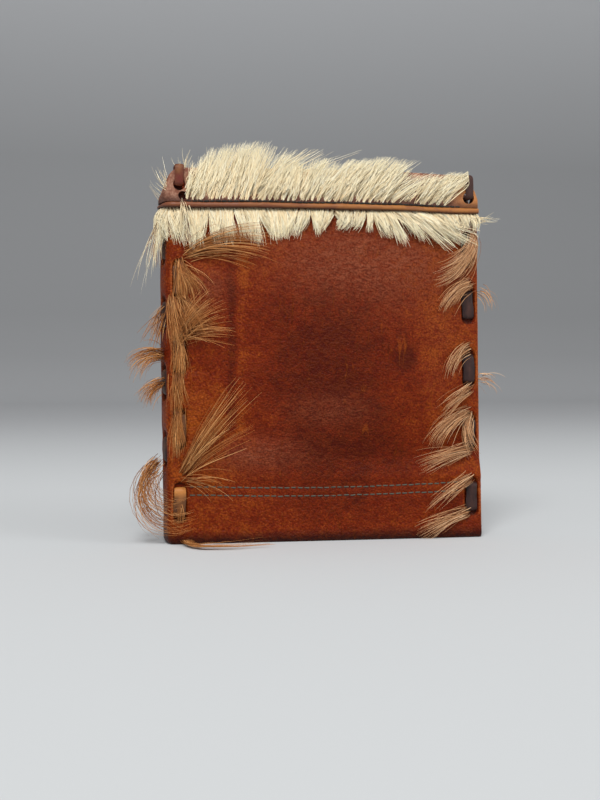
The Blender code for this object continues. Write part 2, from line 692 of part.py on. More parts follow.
def add_spine(collection, cutters, pivot):
    """The spine: its leather between the creases, with its own band, piping, fringe and two laces."""
    depths = spaced(-CREASE_DEPTH - LEATHER, CREASE_DEPTH + LEATHER, 8)
    heights = (0.0, SPINE_BULGE_HEIGHT / 2, SPINE_BULGE_HEIGHT, FRINGE_TOP, HEIGHT)
    inner_depths = spaced(-CREASE_DEPTH + CREASE_CLEARANCE, CREASE_DEPTH - CREASE_CLEARANCE, 6)

    def point(depth, height):
        if height == HEIGHT:
            height = spine_top(depth)
        return Vector((spine_face(depth, height), -depth, height))

    cover = add_object("spine_cover", draped_grid("spine_cover", depths, heights, point), collection, pivot)
    thicken(cover, LEATHER)
    for side in (-1, 1):
        label = "front" if side < 0 else "back"
        cut(cover, add_mitre_cutter(f"spine_{label}_mitre", side, True, cutters))
        place = spine_place(side)

        def face(height):
            return -spine_face(SPINE_LACE_DEPTH, height)

        laces = add_lace_cutters(f"spine_{label}", place, spine_stitches(), face, None, cutters)
        for cutter in laces:
            cut(cover, cutter)
        add_lace(
            f"spine_lace_{label}",
            place,
            spine_stitches(),
            face,
            lambda height: face(height) - LEATHER - 2 * SEAT_GAP - LACE_THICKNESS / 2,
            None,
            collection,
            pivot,
            LACE_GOLD,
        )
    finish_piece(cover, COVER_BROWN, 0.5)

    def band_point(depth, share, thickness):
        height = BAND_FOOT + share * (spine_top(depth) - BAND_FOOT)
        return Vector((spine_face(depth, height) - thickness, -depth, height))

    grid = draped_pad(
        "spine_fur_band",
        inner_depths,
        (0.0, 0.5, 1.0),
        lambda depth, share: band_point(depth, share, SEAT_GAP),
        lambda depth, share: band_point(depth, share, SEAT_GAP + HIDE),
    )
    band = add_object("spine_fur_band", grid, collection, pivot)
    finish_piece(band, HIDE_PINK, 0.6)
    route = [
        (spine_face(depth, PIPING_HEIGHT) - SEAT_GAP - PIPING_RADIUS, depth, PIPING_HEIGHT)
        for depth in spaced(PIPING_RADIUS - CREASE_DEPTH, CREASE_DEPTH - PIPING_RADIUS, 6)
    ]
    add_piping("spine_piping", route, collection, pivot)
    edge = CREASE_DEPTH - CREASE_CLEARANCE
    columns = fringe_columns(-edge, edge, SPINE_FRINGE_LOCKS, lambda depth: FRINGE_SPINE_LENGTH)

    def fringe_seat(depth, height, thickness):
        return Vector((spine_face(depth, height) - thickness, -depth, height))

    add_fringe("spine_fur_fringe", columns, fringe_seat, collection, pivot)


def add_pivot(name, depth, collection, parent=None):
    """An empty on a crease, which the pieces of one body hang on."""
    pivot = bpy.data.objects.new(name, None)
    pivot.empty_display_size = 0.01
    pivot.location = ORIGIN + Vector((0.0, depth, 0.0))
    collection.objects.link(pivot)
    if parent:
        pivot.parent = parent
        pivot.matrix_parent_inverse = Matrix.Translation(-parent.location)
    return pivot


def new_collection(name):
    collection = bpy.data.collections.new(name)
    bpy.context.scene.collection.children.link(collection)
    return collection


def main():
    for old in list(bpy.data.objects):
        bpy.data.objects.remove(old)
    wallet = new_collection("wallet")
    cutters = new_collection("wallet_cutters")
    add_half("back", 1, wallet, cutters, add_pivot("back_half", CREASE_DEPTH, wallet))
    add_spine(wallet, cutters, add_pivot("spine", CREASE_DEPTH, wallet))
    add_half("front", -1, wallet, cutters, add_pivot("front_half", -CREASE_DEPTH, wallet))


main()
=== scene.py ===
"""The looks of the laced, fur-trimmed wallet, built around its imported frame.

Metres, +Z up. As in the part, a place is a run from the crease along the width, a depth from the middle plane and a
height from the ground. A place on the skin is negative on the spine, where it counts back from the crease. side is -1
for the front half and 1 for the back one.
"""

import math

import bpy
import numpy as np
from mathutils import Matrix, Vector


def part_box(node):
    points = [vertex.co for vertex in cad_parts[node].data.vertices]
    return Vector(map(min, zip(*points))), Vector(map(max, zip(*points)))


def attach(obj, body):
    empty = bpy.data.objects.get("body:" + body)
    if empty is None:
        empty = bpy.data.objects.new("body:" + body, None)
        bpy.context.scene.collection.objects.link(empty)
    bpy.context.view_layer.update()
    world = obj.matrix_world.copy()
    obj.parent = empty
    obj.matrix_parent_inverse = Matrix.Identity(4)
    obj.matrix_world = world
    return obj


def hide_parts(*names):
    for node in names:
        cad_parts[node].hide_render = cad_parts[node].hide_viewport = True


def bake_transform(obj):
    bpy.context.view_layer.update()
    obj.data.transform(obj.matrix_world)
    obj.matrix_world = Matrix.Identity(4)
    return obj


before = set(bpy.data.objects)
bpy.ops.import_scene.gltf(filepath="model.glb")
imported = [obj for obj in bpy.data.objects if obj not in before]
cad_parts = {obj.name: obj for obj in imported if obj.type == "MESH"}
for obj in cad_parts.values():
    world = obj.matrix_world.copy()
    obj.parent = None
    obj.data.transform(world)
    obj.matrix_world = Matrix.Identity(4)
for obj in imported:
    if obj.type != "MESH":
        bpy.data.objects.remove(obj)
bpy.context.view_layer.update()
bpy.ops.object.select_all(action="DESELECT")

# Sizes of the part
WIDTH = 0.0995
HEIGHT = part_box("front_cover")[1].z
CREASE_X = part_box("front_cover")[1].x - WIDTH
TAPER = 0.0020
SPINE_CORNER = 0.004
FREE_CORNER = 0.009
LEATHER = 0.0016
HIDE = 0.0011
SEAT_GAP = 0.0003
FOLD_RADIUS = 0.0018
FOLD_BORE = 0.0002
FLAT_ANGLE = math.radians(67.5)
CREASE_DEPTH = 0.0077
HEM_IN = CREASE_DEPTH - 2 * FOLD_RADIUS
FREE_DEPTH = 0.0060
CROWN_DEPTH = 0.0108
HEM_HEIGHT = 0.019
PULL_IN_HEIGHT = 0.008
CROWN_START = 0.0060
CROWN_RUN = 0.024
CROWN_FOOT = 0.017
CROWN_RISE = 0.036
MOUTH_FALL = 0.033
MOUTH_SHARE = 0.86
SPINE_BULGE_FOOT = 0.0015
SPINE_BULGE = 0.0022
SPINE_BULGE_TOP = 0.0012
SPINE_BULGE_HEIGHT = 0.070
SPINE_DIP = 0.0048
PANEL_IN = 0.0026
PIPING_HEIGHT = HEIGHT - 0.0112
PIPING_RADIUS = 0.0008
LACE_GAP = 0.0002
BAND_FOOT = PIPING_HEIGHT + PIPING_RADIUS + LACE_GAP
FRINGE_TOP = PIPING_HEIGHT - PIPING_RADIUS

# Lacing of the part
LACE_WIDTH = 0.0036
LACE_THICKNESS = 0.0009
LACE_HOLE = 0.0040
LACE_INSET = 0.0032
LACE_TAIL = 0.0032
TOP_HOLE_DROP = 0.0050
TOP_TAIL = 0.0022
STITCH = 0.0126
SPINE_LACE_PLACE = 0.0031 - CREASE_DEPTH

TAN_PATCH = (0.0160, 0.0190)

# The skin's softness
CREASE_ROUND = 0.0017
GROOVE = 0.00115
PUNCH_LENGTH = 0.0049
PUNCH_RADIUS = 0.0012
PUNCH_SHIFT = 0.0008
RIM = 0.0006
SLOT_SINK = 0.00025
SLOT_SINK_REACH = 0.0011
EDGE_SINK = 0.0004
UNEVENNESS = 0.00009
HEM_PULL = 0.00018
HEM_LEVEL = 0.00015
SKIN_STEP = 0.00062
HEM_STEP = 0.0015
HEM_ROWS = (0.0181, 0.0155)
HEM_ROW_SAG = 0.0012
THREAD_GAP = 0.0004
TRIM_HOLE = (0.0042, 0.1066)
TRIM_HOLE_RADIUS = 0.0013
TRIM_ROW = BAND_FOOT + 0.0001
TRIM_STEP = 0.0009
PIPING_SIDES = 14

# Bulges of the front's skin: run, height, half width, half height, lift
BULGES = (
    (0.0115, 0.0800, 0.0060, 0.0040, 0.00050),
    (0.0090, 0.0620, 0.0050, 0.0060, 0.00030),
    (0.0240, 0.0290, 0.0150, 0.0050, 0.00055),
    (0.0480, 0.0420, 0.0120, 0.0060, 0.00030),
    (0.0750, 0.0574, 0.0050, 0.0050, -0.00025),
    (0.0530, 0.0487, 0.0050, 0.0040, -0.00020),
    (0.0860, 0.0420, 0.0060, 0.0120, 0.00035),
    (0.0600, 0.0800, 0.0180, 0.0080, 0.00035),
)

# Dents of the front's skin: the two ends as run and height, the width and the depth
DENTS = (
    (0.0192, 0.0905, 0.0190, 0.0360, 0.0009, 0.00032),
    (0.0061, 0.0540, 0.0123, 0.0530, 0.0008, 0.00035),
    (0.0150, 0.0340, 0.0330, 0.0325, 0.0009, 0.00018),
    (0.0660, 0.0500, 0.0690, 0.0215, 0.0005, 0.00012),
    (0.0100, 0.0720, 0.0170, 0.0765, 0.0008, 0.00020),
    (0.0830, 0.0600, 0.0900, 0.0480, 0.0008, 0.00018),
)

# Light and dark patches of the leather, and patches of painted pink sheen, a painted highlight: run, height, half
# width, half height, strength
TONE_PATCHES = (
    (0.0500, 0.0580, 0.0260, 0.0260, -0.42),
    (0.0550, 0.0260, 0.0300, 0.0120, -0.26),
    (0.0120, 0.0340, 0.0120, 0.0180, 0.26),
    (0.0860, 0.0500, 0.0140, math.inf, 0.12),
    (0.0300, 0.0900, 0.0200, 0.0100, 0.12),
    (0.0750, 0.0574, 0.0028, 0.0028, -0.75),
    (0.0530, 0.0487, 0.0026, 0.0026, -0.50),
)
PAINTED_SHEEN_PATCHES = (
    (0.0730, 0.0880, 0.0220, 0.0140, 1.00),
    (0.0470, 0.0880, 0.0180, 0.0100, 0.75),
    (0.0270, 0.0275, 0.0140, 0.0048, 1.00),
    (0.0120, 0.0790, 0.0060, 0.0055, 0.90),
    (0.0500, 0.0410, 0.0140, 0.0050, 0.55),
    (0.0880, 0.0600, 0.0080, 0.0200, 0.25),
)

# Fur
FUR_RADIUS = 0.000115
FUR_POINTS = 6
FUR_LOCKS = 46
FUR_START = 0.0052
FUR_END = WIDTH - 0.0110
FUR_LEAN = 16.0
FUR_END_LEAN = 50.0
BARE_PATCH = (0.0700, 0.0790)
BARE_SHARE = 0.85
FRINGE_LOCK_PITCH = 0.0021
STANDING_STRANDS = 4200
FRINGE_STRANDS = 3400
SPINE_STRANDS = 420

# Tips of the standing fur and of the fringe, as run and height
FUR_TIPS = (
    (0.004, 0.1075), (0.0069, 0.1100), (0.0094, 0.1160), (0.0140, 0.1206), (0.0202, 0.1227), (0.0248, 0.1233),
    (0.0295, 0.1228), (0.0326, 0.1208), (0.0358, 0.1168), (0.0405, 0.1172), (0.0463, 0.1183), (0.0533, 0.1180),
    (0.0647, 0.1192), (0.0679, 0.1187), (0.0712, 0.1166), (0.0770, 0.1138), (0.0800, 0.1130), (0.0822, 0.1146),
    (0.0869, 0.1159), (0.0922, 0.1149), (0.0949, 0.1131), (0.0980, 0.1100),
)
FRINGE_TIPS = (
    (-0.0077, 0.0940), (-0.0015, 0.0931), (0.0062, 0.0923), (0.0154, 0.0911), (0.0246, 0.0923), (0.0324, 0.0939),
    (0.0403, 0.0947), (0.0467, 0.0969), (0.0547, 0.0977), (0.0643, 0.0958), (0.0690, 0.0950), (0.0742, 0.0940),
    (0.0812, 0.0917), (0.0866, 0.0913), (0.0919, 0.0948), (0.0995, 0.0979),
)

# Tufts: run, height and depth of the root, first and last lean in degrees from straight up, length, spread of the lean,
# hairs, and how far they stand off
LEFT_TUFTS = (
    (0.0030, 0.0880, 0.0077, 62.0, 100.0, 0.0260, 9.0, 90, 0.0030),
    (0.0010, 0.0765, 0.0080, 178.0, 165.0, 0.0140, 8.0, 110, 0.0026),
    (0.0036, 0.0760, 0.0080, 140.0, 158.0, 0.0120, 12.0, 70, 0.0025),
    (0.0034, 0.0625, 0.0080, 18.0, 58.0, 0.0150, 12.0, 80, 0.0030),
    (0.0032, 0.0640, 0.0080, 70.0, 96.0, 0.0140, 9.0, 40, 0.0030),
    (0.0024, 0.0530, 0.0080, 184.0, 172.0, 0.0115, 6.0, 84, 0.0018),
    (0.0026, 0.0420, 0.0080, 186.0, 176.0, 0.0125, 5.0, 110, 0.0014),
    (0.0030, 0.0200, 0.0080, 27.0, 40.0, 0.0310, 3.6, 66, 0.0040),
    (0.0030, 0.0200, 0.0080, 38.0, 62.0, 0.0250, 5.0, 18, 0.0040),
    (0.0034, 0.0200, 0.0080, 75.0, 120.0, 0.0150, 12.0, 16, 0.0030),
    (0.0030, 0.0850, 0.0076, 120.0, 160.0, 0.0110, 14.0, 60, 0.0014),
    (0.0030, 0.0876, 0.0072, 168.0, 178.0, 0.0125, 5.0, 120, 0.0007),
    (0.0030, 0.0632, 0.0072, 176.0, 184.0, 0.0110, 5.0, 90, 0.0007),
    (0.0030, 0.0120, 0.0072, 172.0, 190.0, 0.0060, 8.0, 12, 0.0007),
)
WISPS = (
    (0.0010, 0.1075, 0.0072, -50.0, -28.0, 0.0080, 18.0, 16, 0.0010),
    (0.0050, 0.1120, 0.0080, -20.0, 6.0, 0.0070, 16.0, 18, 0.0010),
    (0.0040, 0.1040, 0.0100, 168.0, 176.0, 0.0110, 9.0, 26, 0.0012),
    (0.0975, 0.1010, 0.0075, 100.0, 66.0, 0.0060, 16.0, 14, 0.0008),
)
SPINE_WISPS = (
    (-0.0008, 0.1010, 0.0055, -156.0, -178.0, 0.0150, 3.0, 34, 0.0008),
    (-0.0012, 0.1000, 0.0040, -150.0, -170.0, 0.0200, 7.0, 6, 0.0008),
)
OUTER_TUFTS = (
    (-0.0012, 0.0580, 0.0045, -70.0, -150.0, 0.0110, 12.0, 70, 0.0012),
    (-0.0012, 0.0500, 0.0045, -100.0, -160.0, 0.0090, 12.0, 60, 0.0012),
    (-0.0010, 0.0262, 0.0050, -112.0, -284.0, 0.0320, 3.5, 56, 0.0014),
    (-0.0010, 0.0230, 0.0050, -120.0, -240.0, 0.0220, 9.0, 14, 0.0014),
    (-0.0010, 0.0720, 0.0045, -150.0, -170.0, 0.0100, 12.0, 40, 0.0010),
    (-0.0008, 0.0990, 0.0045, -150.0, -184.0, 0.0120, 8.0, 24, 0.0008),
)
RIGHT_TUFTS = (
    (0.0962, 0.0975, 0.0066, 178.0, 246.0, 0.0185, 5.0, 150, 0.0018),
    (0.0966, 0.0805, 0.0066, -98.0, -152.0, 0.0125, 4.5, 90, 0.0022),
    (0.0962, 0.0608, 0.0066, -100.0, -172.0, 0.0120, 2.5, 44, 0.0020),
    (0.0966, 0.0480, 0.0066, -118.0, -134.0, 0.0125, 5.0, 46, 0.0022),
    (0.0964, 0.0400, 0.0068, -96.0, -152.0, 0.0165, 4.5, 84, 0.0026),
    (0.0964, 0.0392, 0.0068, -140.0, -214.0, 0.0120, 7.0, 60, 0.0014),
    (0.0970, 0.0285, 0.0068, -98.0, -112.0, 0.0175, 5.5, 64, 0.0026),
    (0.0970, 0.0195, 0.0070, -108.0, -134.0, 0.0160, 2.4, 40, 0.0026),
    (0.0962, 0.0084, 0.0074, -100.0, -122.0, 0.0165, 4.2, 74, 0.0022),
    (0.0985, 0.0790, 0.0062, 110.0, 172.0, 0.0075, 10.0, 16, 0.0008),
    (0.0985, 0.0510, 0.0062, 70.0, 140.0, 0.0075, 12.0, 14, 0.0008),
)

# Way of the tuft that lies on the ground: shares of its length, then run, depth and height there
FOOT_ROUTE = (
    (0.0000, 0.1200, 0.3500, 0.7000, 1.0000),
    (0.0050, 0.0055, 0.0080, 0.0190, 0.0300),
    (0.0080, 0.0120, 0.0180, 0.0190, 0.0155),
    (0.0016, 0.0010, 0.0007, 0.0007, 0.0006),
)

# Colours, linear
LEATHER_DARK = (0.068, 0.0050, 0.0006)
LEATHER_MIDDLE = (0.172, 0.0155, 0.0012)
LEATHER_LIGHT = (0.370, 0.0800, 0.0070)
# Painted pink sheen, a painted highlight
LEATHER_PAINTED_SHEEN = (0.270, 0.0680, 0.0300)
# Wear, partly a painted highlight
LEATHER_WEAR_AND_HIGHLIGHT = (0.380, 0.0950, 0.0200)
# Painted shade
PAINTED_SHADE_DARK = (0.026, 0.0040, 0.0030)
INNER_DARK = (0.065, 0.0170, 0.0060)
INNER_LIGHT = (0.140, 0.0400, 0.0140)
LACE_GOLD = (0.230, 0.0900, 0.0280)
LACE_GOLD_DARK = (0.090, 0.0300, 0.0100)
LACE_TAN = (0.520, 0.2000, 0.0450)
# Painted shade on the lace where it goes over the top
LACE_SHADED_TOP_RED = (0.140, 0.0220, 0.0160)
LACE_PURPLE = (0.060, 0.0240, 0.0180)
LACE_PURPLE_DARK = (0.018, 0.0070, 0.0070)
HIDE_PINK = (0.400, 0.2000, 0.1300)
HIDE_ORANGE = (0.480, 0.1900, 0.0600)
HIDE_BROWN = (0.200, 0.0650, 0.0350)
PIPING_PINK = (0.210, 0.0680, 0.0260)
PIPING_TAN = (0.390, 0.1500, 0.0380)
FUR_CREAM = (1.000, 0.8900, 0.6000)
FUR_PALE = (1.000, 0.9400, 0.7400)
FUR_SHADE = (0.880, 0.6600, 0.3800)
HAIR_AMBER = (0.850, 0.4600, 0.1800)
HAIR_PALE = (0.950, 0.6400, 0.3800)
HAIR_GOLD = (0.600, 0.2350, 0.0600)
HAIR_BROWN = (0.160, 0.0450, 0.0110)
HAIR_PEACH = (0.800, 0.4300, 0.2000)
HAIR_TAN = (0.250, 0.0950, 0.0350)
THREAD_GREY = (0.100, 0.1000, 0.0750)
THREAD_OLIVE = (0.016, 0.0120, 0.0080)
FLOOR_PALE = (0.545, 0.5620, 0.5700)
# Painted light: the floor lighter towards the back; the wall's greys are painted light and shade
FLOOR_FAR_PAINTED_LIGHT = (0.660, 0.6800, 0.6900)
WALL_PAINTED_LIGHT_GREYS = ((0.0, 0.55), (0.08, 0.45), (0.16, 0.41), (0.50, 0.41), (0.87, 0.61))
WALL_HEIGHT = 0.75
WALL_PLACE = 1.6
FLOOR_LENGTH = 3.7

# Light: name, place, size, power
WORLD_LIGHT = 0.38
LAMPS = (
    ("over the front", (-0.22, -0.80, 1.02), 0.6, 13.0),
    ("right fill", (0.90, -0.60, 0.50), 0.6, 3.0),
)
LAMP_TARGET = (0.0, 0.0, 0.06)

# Camera: a little left of the front, about level with the wallet's middle
VIEW_AZIMUTH = math.radians(-9.49)
VIEW_ELEVATION = math.radians(2.08)
VIEW_TARGET = (-0.0052, 0.0, 0.0440)
VIEW_DISTANCE = 0.3837
SENSOR = 36.0
FOCAL_SHARE = 1210.0 / 800.0


def smooth(share):
    """Rises softly from 0 to 1."""
    share = np.clip(share, 0.0, 1.0)
    return share * share * (3.0 - 2.0 * share)


def spaced(start, end, step):
    """Evenly spaced values with both ends."""
    return list(np.linspace(start, end, max(2, round(abs(end - start) / step) + 1)))


def corner_drop(inward, radius):
    """How far a rounded corner lies below its edge."""
    run = np.clip(radius - inward, 0.0, 0.98 * radius)
    return radius - np.sqrt(radius * radius - run * run)


def even_stitches(foot, count, length, last_top):
    """Lowest and highest points of evenly spaced stitches."""
    pitch = (last_top - foot - length) / (count - 1)
    return [(foot + pitch * place, foot + pitch * place + length) for place in range(count)]


FREE_STITCHES = even_stitches(0.0068, 4, STITCH, PIPING_HEIGHT - 0.0232)
FREE_STITCHES += [(PIPING_HEIGHT - 0.0172, PIPING_HEIGHT - 0.0064)]
CREASE_STITCHES = even_stitches(0.0066, 4, STITCH, PIPING_HEIGHT - 0.0164)
CREASE_STITCHES += [(PIPING_HEIGHT - 0.0092, PIPING_HEIGHT - 0.0006)]
SPINE_STITCHES = even_stitches(0.0235, 4, 0.0113, PIPING_HEIGHT - 0.0066)
LACE_LINES = (
    (WIDTH - LACE_INSET, FREE_STITCHES),
    (LACE_INSET, CREASE_STITCHES),
    (SPINE_LACE_PLACE, SPINE_STITCHES),
)


def top_height(place):
    """Height of the leather's top edge, which dips between the two halves on the spine."""
    run = np.maximum(place, 0.0)
    half = HEIGHT - corner_drop(run, SPINE_CORNER) - corner_drop(WIDTH - run, FREE_CORNER)
    across = (CREASE_DEPTH + np.minimum(place, 0.0)) / CREASE_DEPTH
    return half - SPINE_DIP * (1.0 - across ** 2)


def plain_depth(run, height):
    """Depth of a half's outer face, as in the part."""
    above_hem = smooth((height - HEM_HEIGHT) / PULL_IN_HEIGHT)
    edge = CREASE_DEPTH - (CREASE_DEPTH - FREE_DEPTH) * above_hem * smooth((run - WIDTH / 4) / (WIDTH / 2))
    across = smooth((run - CROWN_START) / CROWN_RUN) * smooth((WIDTH - run - CROWN_START) / CROWN_RUN)
    mouth = 1.0 - (1.0 - MOUTH_SHARE) * smooth((height + MOUTH_FALL - HEIGHT) / MOUTH_FALL)
    return edge + (CROWN_DEPTH - edge) * smooth((height - CROWN_FOOT) / CROWN_RISE) * mouth * across


def spine_bulge(height):
    foot = SPINE_BULGE_FOOT + (SPINE_BULGE - SPINE_BULGE_FOOT) * smooth(height / SPINE_BULGE_HEIGHT)
    fall = smooth((height - FRINGE_TOP) / (HEIGHT - FRINGE_TOP))
    return foot + (SPINE_BULGE_TOP - SPINE_BULGE) * fall


def segment_distance(run, height, start_run, start_height, end_run, end_height):
    along = np.array([end_run - start_run, end_height - start_height])
    share = ((run - start_run) * along[0] + (height - start_height) * along[1]) / (along @ along)
    share = np.clip(share, 0.0, 1.0)
    return np.hypot(run - start_run - share * along[0], height - start_height - share * along[1])


def ripple(run, height, seed, longest, shortest, count=16):
    """Soft unevenness between about -1 and 1, as a sum of waves in many directions."""
    waves = np.random.default_rng(seed)
    total = np.zeros_like(run + height)
    for wave in range(count):
        length = longest * (shortest / longest) ** (wave / (count - 1))
        angle, phase = waves.uniform(0.0, 2 * math.pi, 2)
        total += np.sin(2 * math.pi * (run * math.cos(angle) + height * math.sin(angle)) / length + phase)
    return total / math.sqrt(2.0 * count)


def slot_distance(place, height):
    """Distance to the nearest lace slot's outline, negative inside it."""
    nearest = np.full(np.broadcast(place, height).shape, 1.0)
    radius = LACE_HOLE / 2
    for line, stitches in LACE_LINES:
        for low, high in stitches:
            over = height - np.clip(height, low + radius, high - radius)
            nearest = np.minimum(nearest, np.hypot(place - line, over) - radius)
    return nearest


def hem_row_height(row, run):
    return row - HEM_ROW_SAG * np.sin(math.pi * np.clip(run / WIDTH, 0.0, 1.0))


def relief(side, place, height):
    """How far the skin stands out of the part's plain face: bulges, dents and the pull of its stitching."""
    below_trim = 1.0 - smooth((height - PIPING_HEIGHT + 0.008) / 0.006)
    lift = UNEVENNESS * ripple(place, height, 5 + side, 0.030, 0.004)
    if side < 0:
        lift = lift + patches_of(BULGES, place, height)
        for *ends, width, depth in DENTS:
            lift = lift - depth * np.exp(-(segment_distance(place, height, *ends) / width) ** 2)
    for row in HEM_ROWS:
        pulled = np.exp(-((height - hem_row_height(row, place)) / 0.0005) ** 2) * smooth(place / 0.003)
        lift = lift - HEM_PULL * pulled
    lift = lift - HEM_LEVEL * smooth((HEM_HEIGHT + 0.0004 - height) / 0.0007) * smooth(place / 0.002)
    return lift * below_trim * smooth((height - 0.002) / 0.004)


def skin_point(side, place, height, lift=0.0, inset=0.0):
    """A point this far out of the skin. inset draws it in from the plain face, as the fold at the foot does."""
    out = lift - inset
    across = CREASE_DEPTH + np.minimum(place, 0.0)
    bulge = spine_bulge(height)
    spine_run = -bulge * (1.0 - (across / CREASE_DEPTH) ** 2) - out
    share = np.clip((place + CREASE_ROUND) / (2 * CREASE_ROUND), 0.0, 1.0)
    start_run = -bulge * (1.0 - (1.0 - CREASE_ROUND / CREASE_DEPTH) ** 2) - out
    bend_run = start_run * (1 - share) ** 2 - 2 * out * share * (1 - share) + CREASE_ROUND * share ** 2
    bend_depth = (CREASE_DEPTH - CREASE_ROUND) * (1 - share) ** 2
    bend_depth = bend_depth + (CREASE_DEPTH + out) * (2 * share * (1 - share) + share ** 2)
    on_bend = np.abs(place) < CREASE_ROUND
    run = np.where(on_bend, bend_run, np.where(place < 0, spine_run, place))
    depth = np.where(on_bend, bend_depth, np.where(place < 0, across, plain_depth(place, height) + out))
    run = run * (1.0 - np.where(run > 0, TAPER / WIDTH * height / HEIGHT, 0.0))
    return np.stack(np.broadcast_arrays(CREASE_X + run, side * depth, height), axis=-1)


def clear_selection():
    bpy.ops.object.select_all(action="DESELECT")


def pick(piece):
    """Selects this piece alone and makes it the active one."""
    clear_selection()
    piece.select_set(True)
    bpy.context.view_layer.objects.active = piece


def reshape(*steps, whole=True):
    """Runs the steps in edit mode, each on the whole mesh or else on what is selected."""
    bpy.ops.object.mode_set(mode="EDIT")
    for step in steps:
        if whole:
            bpy.ops.mesh.select_all(action="SELECT")
        step()
    bpy.ops.object.mode_set(mode="OBJECT")


def select_corners(piece, test):
    """Selects the corners that pass the test and the edges between them."""
    for vertex in piece.data.vertices:
        vertex.select = test(vertex.co)
    for edge in piece.data.edges:
        edge.select = all(piece.data.vertices[end].select for end in edge.vertices)
    for face in piece.data.polygons:
        face.select = False


def apply_modifiers(piece):
    pick(piece)
    for modifier in list(piece.modifiers):
        bpy.ops.object.modifier_apply(modifier=modifier.name)


def corners(piece):
    found = np.empty(len(piece.data.vertices) * 3, np.float32)
    piece.data.vertices.foreach_get("co", found)
    return found.reshape(-1, 3).astype(float)


def set_corners(piece, points):
    piece.data.vertices.foreach_set("co", np.asarray(points, np.float32).ravel())
    piece.data.update()


def set_attribute(piece, name, values):
    attribute = piece.data.attributes.new(name, "FLOAT", "POINT")
    attribute.data.foreach_set("value", np.asarray(values, np.float32))


def smooth_shading(piece, degrees=50.0):
    pick(piece)
    bpy.ops.object.shade_smooth_by_angle(angle=math.radians(degrees))
    clear_selection()


def finish_piece(piece, material):
    piece.data.materials.clear()
    piece.data.materials.append(material)
    return piece


def add_ringed_cylinder(sides, rings):
    """A cylinder of radius and length 1, cut so that it has this many rings of corners: each corner's ring is given."""
    clear_selection()
    bpy.ops.mesh.primitive_cylinder_add(vertices=sides, radius=1.0, depth=1.0)
    piece = bpy.context.object
    for cut in np.linspace(-0.5, 0.5, rings)[1:-1]:
        reshape(lambda: bpy.ops.mesh.bisect(plane_co=(0.0, 0.0, cut), plane_no=(0.0, 0.0, 1.0)))
    shape = corners(piece)
    return piece, shape, np.rint((shape[:, 2] + 0.5) * (rings - 1)).astype(int)


def add_sheet(name, across, along, outer, inner):
    """A closed sheet: a grid primitive given a thickness, with its faces laid on outer(a, b) and inner(a, b)."""
    clear_selection()
    bpy.ops.mesh.primitive_grid_add(x_subdivisions=len(across) - 1, y_subdivisions=len(along) - 1, size=2.0)
    piece = bpy.context.object
    piece.name = name
    wall = piece.modifiers.new("Wall", "SOLIDIFY")
    wall.thickness = 1.0
    wall.offset = -1.0
    apply_modifiers(piece)
    flat = corners(piece)
    a = np.asarray(across)[np.rint((flat[:, 0] + 1.0) / 2.0 * (len(across) - 1)).astype(int)]
    b = np.asarray(along)[np.rint((flat[:, 1] + 1.0) / 2.0 * (len(along) - 1)).astype(int)]
    top = flat[:, 2] > -0.5
    set_corners(piece, np.where(top[:, None], outer(a, b), inner(a, b)))
    return piece, a, b, top


def cut_holes(piece, holes, side, inset=0.0, radius=LACE_HOLE / 2 - 0.00015):
    """Punches round holes through a piece that lies this far under the skin. holes are (place, height)."""
    clear_selection()
    punches = []
    for place, height in holes:
        centre = skin_point(side, np.array(place), np.array(height), 0.0, inset)
        turn = (0.0, math.radians(90.0), math.radians(-20.0) * side) if place < 0 else (math.radians(90.0), 0.0, 0.0)
        bpy.ops.mesh.primitive_cylinder_add(
            vertices=20, radius=radius, depth=PUNCH_LENGTH, location=centre, rotation=turn
        )
        punches.append(bpy.context.object)
    clear_selection()
    for punch in punches:
        punch.select_set(True)
    bpy.ops.object.join()
    punch = bpy.context.object
    cutting = piece.modifiers.new("Holes", "BOOLEAN")
    cutting.operation = "DIFFERENCE"
    cutting.solver = "MANIFOLD"
    cutting.object = punch
    apply_modifiers(piece)
    bpy.data.objects.remove(punch)


def lace_holes(lines):
    """Where the laces go through, a little in from the ends of their slots, so that the lace fills its hole."""
    reach = LACE_HOLE / 2 + PUNCH_SHIFT
    return [
        (line, height) for line, stitches in lines for low, high in stitches for height in (low + reach, high - reach)
    ]


def top_holes():
    """The holes through leather and band where the two long laces go over the top edge."""
    return [(line, top_height(line) - TOP_HOLE_DROP) for line in (LACE_INSET, WIDTH - LACE_INSET)]


class Value:
    """A shader socket that sums and products can be written with."""

    def __init__(self, finish, socket):
        self.finish = finish
        self.socket = socket

    def maths(self, operation, first, second):
        return self.finish.node("ShaderNodeMath", {"operation": operation}, first, second)

    def __add__(self, other):
        return self.maths("ADD", self, other)

    def __radd__(self, other):
        return self.maths("ADD", other, self)

    def __sub__(self, other):
        return self.maths("SUBTRACT", self, other)

    def __rsub__(self, other):
        return self.maths("SUBTRACT", other, self)

    def __mul__(self, other):
        return self.maths("MULTIPLY", self, other)

    def __rmul__(self, other):
        return self.maths("MULTIPLY", other, self)

    def __abs__(self):
        return self.maths("ABSOLUTE", self, 0.0)


